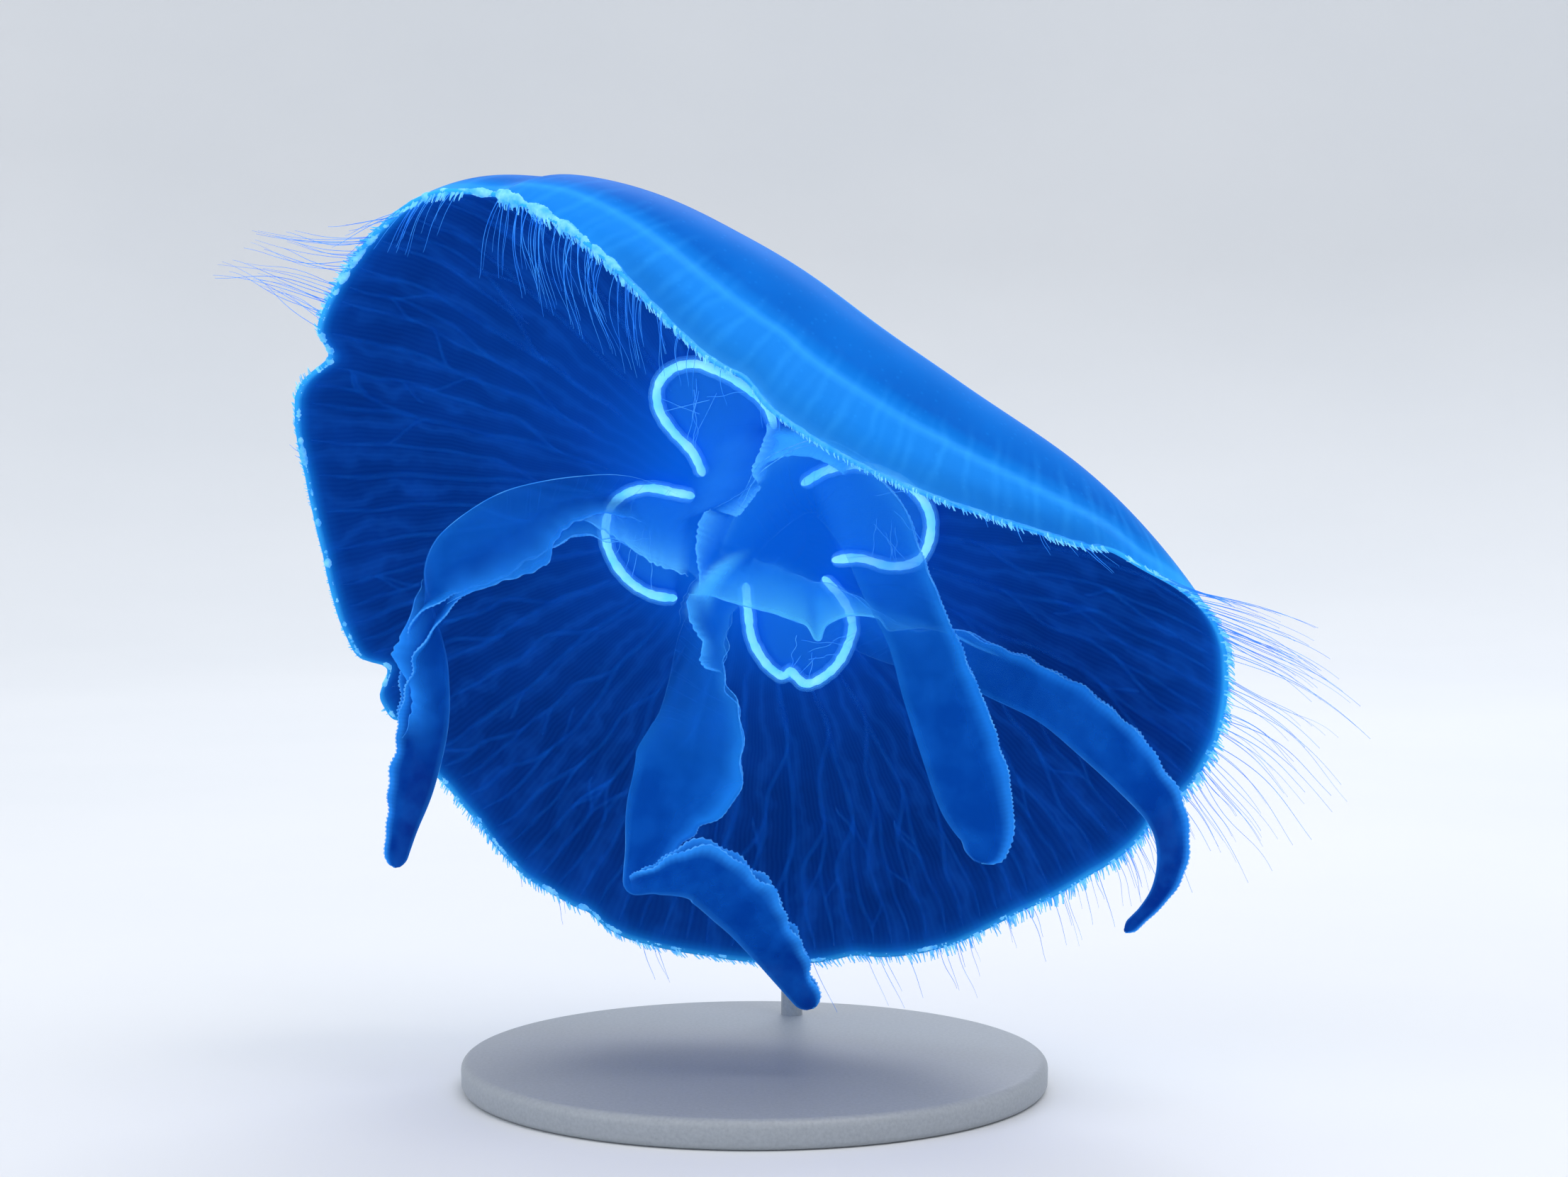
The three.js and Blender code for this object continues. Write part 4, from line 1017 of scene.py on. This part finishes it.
def arm_wall(side, frame_rows, scallop, random):
    """One of the gutter's two walls: a frilled membrane from the rib to the lip."""
    middle, lipward, outward, half, run = frame_rows
    free = smooth_step(half, 1.0, 5.0)  # frills die out towards the tip
    frill = ripple(run, 15, random.uniform(0, 6)) + 0.6 * ripple(run, 8.3, random.uniform(0, 6))
    own = 0.16 * ripple(run, 11, random.uniform(0, 6))
    across = ACROSS[None]
    bow = 0.62 * np.sin(np.clip(across * 2, 0, 1) * np.pi / 2) + 0.38 * smooth_step(across, 0.5, 1)
    stand_off = side * (0.3 + LIP_SPREAD * half)[:, None] * bow + (frill * free)[:, None] * across**2.5 * 0.6
    reach = -half[:, None] + 2 * half[:, None] * across + ((scallop + own) * free)[:, None] * across**4
    return middle[:, None] + lipward[:, None] * reach[..., None] + outward[:, None] * stand_off[..., None]


def thick_film(wall, thickness):
    """Both faces of a membrane and the edges that close it. wall is (stations, across, 3)."""
    normal = unit(np.cross(np.gradient(wall, axis=0), np.gradient(wall, axis=1)))
    front, back = wall + normal * thickness, wall - normal * thickness
    ring = np.concatenate([front, back[:, ::-1]], 1)
    stations, columns = ring.shape[:2]
    quads = grid_faces(stations, columns, around=True, flip=True)
    first = np.arange(columns)[None]
    last = ((stations - 1) * columns + np.arange(columns))[None, ::-1]
    return ring.reshape(-1, 3), [quads, first, last]


# How far along each arm its clear root reaches, against the shares of its length in the lists below.
ARM_ROOT = [0.92, 0.6, 1.08, 0.75]
ARM_STOPS = [(0, "#2490f4"), (0.3, "#1678e0"), (0.44, "#1068d0"), (0.54, "#064ea8"), (0.66, "#03429c"),
             (1, "#023c96")]
# Painted highlight along the lips, by the share of the arm's length.
LIP_HIGHLIGHT_STOPS = [(0, "#44b0fc"), (0.45, "#2490ee"), (0.7, "#1c7cdc"), (1, "#2c8ce8")]
ARM_BODY = [(0, 0.03), (0.2, 0.06), (0.4, 0.12), (0.5, 0.22), (0.64, 0.64), (1, 0.7)]  # density of one face
ARM_CLEAR = [0.74, 0.88, 1.1, 0.76]  # beyond this share each arm is denser and deeper in colour
ARM_WAVES = [0.5, 0.9, 0.2, 0.5]  # how deeply each arm's lips are scalloped
RIB_START = [0.12, 0.3, 0.8, 0.35]  # from this share on, each arm's rib is seen as a line
TIP_TONE = "#022c82"
TIP_BODY = 0.8
TOOTH = 1.15  # millimetres from one tooth of a lip to the next
VEIN_SPACING = 11  # stations
VEIN_POINTS = 14
CURTAIN_STATIONS = 160
CURTAIN_COLUMNS = 14


def arm_tone(far, across, tip):
    """Colour over an arm: brighter towards the mouth, with painted highlight on the lips and, faintly, the
    rib.
    """
    tone, lip = tones(far, ARM_STOPS)[:, None], tones(far, LIP_HIGHLIGHT_STOPS)[:, None]
    tone = tinted(tone, TIP_TONE, tip[:, None, None])
    # How much painted highlight the lips and the rib get.
    share = 0.8 * smooth_step(across, 0.7, 1) ** 2 + 0.35 * (1 - smooth_step(across, 0, 0.14))
    return tone + (lip - tone) * share[None, :, None]


def both_faces(values):
    """The same values in the order that thick_film gives its points."""
    return np.concatenate([values, values[:, ::-1]], 1).reshape(-1, *values.shape[2:])


class OralSkin:
    """The mouth and arms as they are gathered: the membrane with its density and colour, and its fringes."""

    def __init__(self):
        self.film, self.fringe, self.body, self.tone = Shell(), Shell(), [], []

    def membrane(self, wall, density, tone):
        self.film.add(*thick_film(wall, FILM))
        self.body.append(both_faces(density))
        self.tone.append(both_faces(np.broadcast_to(tone, wall.shape)))

    def thread(self, path, radius, sides=6, material=0):
        self.fringe.add(*tubes(path[None], radius[None], sides), material=material)

    def arm(self, rows, root_end, clear, waves, rib_start, random):
        """Two frilled walls with their veins and beaded lips, and the rib where they meet."""
        frame_rows = arm_frame(rows)
        middle, lipward, _, half, run = frame_rows
        far = run / run[-1]
        tip = smooth_step(far, clear - 0.06, clear + 0.06)
        teeth = 0.16 * ripple(run, TOOTH) * smooth_step(far, 0.3, 0.6)
        scallop = teeth + waves * (0.55 * ripple(run, 17, random.uniform(0, 6))
                                   + 0.5 * ripple(run, 7.7, random.uniform(0, 6)))
        taper = smooth_step(half, 0.5, 4)
        outline = 0.1 * smooth_step(far, 0.45, 0.75)
        near = (1 - smooth_step(far / root_end, 0.2, 0.55))[:, None]  # here it clears towards the rib
        body = np.interp(far / root_end, *zip(*ARM_BODY))
        density = (body + (TIP_BODY - body) * tip)[:, None] * (
            1 - near * (1 - smooth_step(ACROSS, 0, 0.7)) + (0.3 + 0.4 * near) * smooth_step(ACROSS, 0.55, 1))
        for side in (-1, 1):
            wall = arm_wall(side, frame_rows, scallop, random)
            self.membrane(wall, density, arm_tone(far / root_end, ACROSS, tip))
            bead = (0.08 + 0.1 * taper + outline) * (1 + 0.4 * ripple(run, TOOTH))
            self.thread(wall[:, -1], bead * smooth_step(far, 0.02, 0.3))
            for start in range(24, ARM_STATIONS - 40, VEIN_SPACING):
                steps = (start + random.integers(-3, 4) + VEIN_LEAN * ACROSS**1.3).astype(int)
                vein = resample(wall[steps, np.arange(len(ACROSS))], VEIN_POINTS)
                thin = (0.05 + 0.09 * taper[steps[0]]) * np.linspace(1, 0.5, VEIN_POINTS)
                self.thread(vein, thin, sides=4, material=1)
        line = 0.01 + (0.11 * taper + outline) * smooth_step(far, rib_start, rib_start + 0.2)
        self.thread(middle - lipward * half[:, None], line)

    def curtain(self, thickness, ends, crisp, root_tone, edge_tone, root, edge):
        t, across = np.linspace(0, 1, CURTAIN_STATIONS), np.linspace(0, 1, CURTAIN_COLUMNS)
        top = POLE + between(root, t * (len(root) - 1))
        low = POLE + between(edge, t * (len(edge) - 1))
        low = low + 0.25 * np.sin(t * 60 + 2 * np.sin(t * 17))[:, None] * unit(low - top)
        belly = np.array([0, -1.0, 0]) * 2.2 * np.sin(np.pi * across)[None, :, None]
        wall = top[:, None] + (low - top)[:, None] * across[None, :, None] + belly
        fade = smooth_step(np.minimum(t, 1 - t), 0, ends)[:, None]
        dense = thickness * (smooth_step(across, 0, 0.5) * (1 - (1 - crisp) * smooth_step(across, 0.5, 1))
                             + 0.5 * crisp * across**4)
        self.membrane(wall, dense * fade, tones(across**2.5, [(0, root_tone), (1, edge_tone)]))
        self.thread(low, (0.03 + crisp * (0.16 + 0.06 * np.sin(t * 140))) * (0.2 + 0.8 * fade[:, 0]))

    def stalk(self):
        """The mouth's own short stalk, ridged towards the arms."""
        phi = 360 * np.arange(MOUTH_COLUMNS) / MOUTH_COLUMNS
        rows = between(MOUTH_PROFILE, np.linspace(0, len(MOUTH_PROFILE) - 1, MOUTH_ROWS))
        radius = rows[:, 1:2] + rows[:, 2:3] * np.cos(4 * np.radians(phi - ARM_ANGLE))
        radius = radius + 0.35 * np.cos(np.radians(phi) * 20) * smooth_step(-rows[:, :1], 2, 12)
        points = from_bell(round_axis(radius, np.radians(phi), rows[:, :1]))
        self.film.add(points, [grid_faces(MOUTH_ROWS, MOUTH_COLUMNS, around=True)])
        self.body.append(np.full(MOUTH_ROWS * MOUTH_COLUMNS, MOUTH_BODY))
        self.tone.append(np.broadcast_to(colour(MOUTH_TONE)[:3], (MOUTH_ROWS * MOUTH_COLUMNS, 3)))


def oral_skin(random):
    """The mouth, its curtains and the four arms in one skin, and the fringes that edge the lips."""
    skin = OralSkin()
    for values in zip(ARMS, ARM_ROOT, ARM_CLEAR, ARM_WAVES, RIB_START):
        skin.arm(*values, random)
    for values in CURTAINS.values():
        skin.curtain(*values)
    skin.stalk()
    tone, body = np.concatenate(skin.tone), np.concatenate(skin.body)
    return (skin.film.build("oral_arms_and_mouth", [arm_film], tone=tone, body=body),
            skin.fringe.build("lip_fringes", [lip_tissue, canal_tissue]))


# ---- Stand ----------------------------------------------------------------------------------


def powder_coat(tree):
    """Powder coat, sprayed and baked: a fine pebbled film, its grains about 0.4 mm, drawn at 0.9 so that
    they show."""
    grain = noise(tree, place_in_mm(tree), 0.9, 2.0)
    return {"Base Color": blend(tree, grain, "#8f959c", "#a9afb5"), "Normal": bump(tree, grain, 0.3, 0.12)}


coat = finish("powder-coated steel, pale grey", powder_coat, Roughness=0.48)


def rings_of(profile, count):
    """Points of rings round the upright axis. profile is an array of (radius, height)."""
    return round_axis(profile[:, :1], 2 * np.pi * np.arange(count) / count, profile[:, 1:]).reshape(-1, 3)


def turned_form(profile, count):
    """A lathe-turned solid. profile is (radius, height) pairs that start and end on the axis."""
    inner = np.array(profile[1:-1], float)
    last = len(inner) * count
    points = np.concatenate([rings_of(inner, count), [[0, 0, profile[0][1]], [0, 0, profile[-1][1]]]])
    return points, [grid_faces(len(inner), count, around=True), fan(0, count, last, flip=True),
                    fan(last - count, count, last + 1)]


BASE_EDGE = 2.4  # radius of the base's softened edge


def stand_disc():
    low, high = (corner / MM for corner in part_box("stand_base"))
    radius, height = (high.x - low.x) / 2, high.z
    turn = np.linspace(-np.pi / 2, np.pi / 2, 13)
    rim = [(radius - BASE_EDGE + BASE_EDGE * math.cos(a),
            (BASE_EDGE if a < 0 else height - BASE_EDGE) + BASE_EDGE * math.sin(a)) for a in turn]
    profile = [(0, 0), (radius * 0.6, 0)] + rim + [(radius * 0.6, height), (0, height)]
    return Shell().add(*turned_form(profile, 192)).build("stand_disc", [coat])


# ---- The scene ------------------------------------------------------------------------------

random = np.random.default_rng(RANDOM_SEED)

bell = bell_skin()
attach(bell, "root")
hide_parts("bell_dome", *[f"bell_lobe_{i}" for i in range(1, 9)])

for piece, slot in [(margin_rim(random), "bell_margin"), (margin_tentacles(random), "bell_margin"),
                    (radial_canals(random), "bell_jelly"),
                    *((piece, "bell_jelly") for piece in gonad_pouches(random))]:
    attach(piece, "root")

for i in range(4):
    loop = gonad_loop(i, random)
    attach(loop, "root")
    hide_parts(f"gonad_{i + 1}")

oral, fringes = oral_skin(random)
arm_nodes = [f"oral_arm_{i}_{part}" for i in range(1, 5) for part in ("root", "middle", "tip")]
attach(oral, "root")
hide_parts("mouth", *arm_nodes)
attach(fringes, "root")

disc = stand_disc()
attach(disc, "root")
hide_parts("stand_base")
rod_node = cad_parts["stand_rod"]
rod_node.data.materials.clear()
rod_node.data.materials.append(coat)

# ---- Studio ---------------------------------------------------------------------------------

SWEEP_FLAT = 1200.0
SWEEP_RADIUS = 2600.0
SWEEP_COLUMNS = 128
WALL_TOP = 1900.0


def studio_sweep():
    """A pale floor that curves up into a wall all round, far outside the model."""
    turn = np.linspace(0, np.pi / 2, 16)
    bend = SWEEP_RADIUS - SWEEP_FLAT
    profile = [(SWEEP_FLAT + bend * math.sin(a), bend * (1 - math.cos(a))) for a in turn]
    profile = np.array(profile + [(SWEEP_RADIUS, WALL_TOP)])
    points = np.concatenate([rings_of(profile, SWEEP_COLUMNS), [[0, 0, 0]]])
    faces = [grid_faces(len(profile), SWEEP_COLUMNS, around=True, flip=True),
             fan(0, SWEEP_COLUMNS, len(points) - 1)]
    floor_paint = finish("studio floor, matt paint", mottled("#e2e5e9", "#e8eaed", 400, 0.0, glows=False),
                         Roughness=0.9)
    return Shell().add(points, faces).build("studio_sweep", [floor_paint])


studio_sweep()


def soft_light(name, place, aim, size, power, tint):
    data = bpy.data.lights.new(name, "AREA")
    data.shape = "DISK"
    data.size = size
    data.energy = power
    data.color = colour(tint)[:3]
    lamp = bpy.data.objects.new(name, data)
    lamp.location = place
    lamp.rotation_euler = (Vector(aim) - Vector(place)).to_track_quat("-Z", "Y").to_euler()
    bpy.context.scene.collection.objects.link(lamp)


CAMERA_AIM = Vector((7.8, -11.2, 133.4)) * MM
CAMERA_DISTANCE = 0.9
CAMERA_RISE = 4.0
CAMERA_LENS = 79.2

soft_light("key_softbox", (0.5, -0.7, 1.5), CAMERA_AIM, 1.0, 9, "#fffaf4")
soft_light("fill_softbox", (-1.2, -0.8, 0.6), CAMERA_AIM, 1.2, 4, "#eef4ff")
soft_light("back_softbox", (0.2, 1.2, 1.2), CAMERA_AIM, 1.0, 7, "#f4f8ff")

scene = bpy.context.scene
world = bpy.data.worlds.new("studio_air")
world.use_nodes = True
world.node_tree.nodes["Background"].inputs["Color"].default_value = colour("#eceff3")
world.node_tree.nodes["Background"].inputs["Strength"].default_value = 0.95
scene.world = world
scene.view_settings.view_transform = "Standard"
scene.cycles.transparent_max_bounces = 64

camera_data = bpy.data.cameras.new("camera")
camera_data.lens = CAMERA_LENS
camera_data.sensor_width = 36
camera = bpy.data.objects.new("camera", camera_data)
rise = math.radians(CAMERA_RISE)
camera.location = CAMERA_AIM + CAMERA_DISTANCE * Vector((0, -math.cos(rise), math.sin(rise)))
camera.rotation_euler = (CAMERA_AIM - camera.location).to_track_quat("-Z", "Y").to_euler()
scene.collection.objects.link(camera)
scene.camera = camera
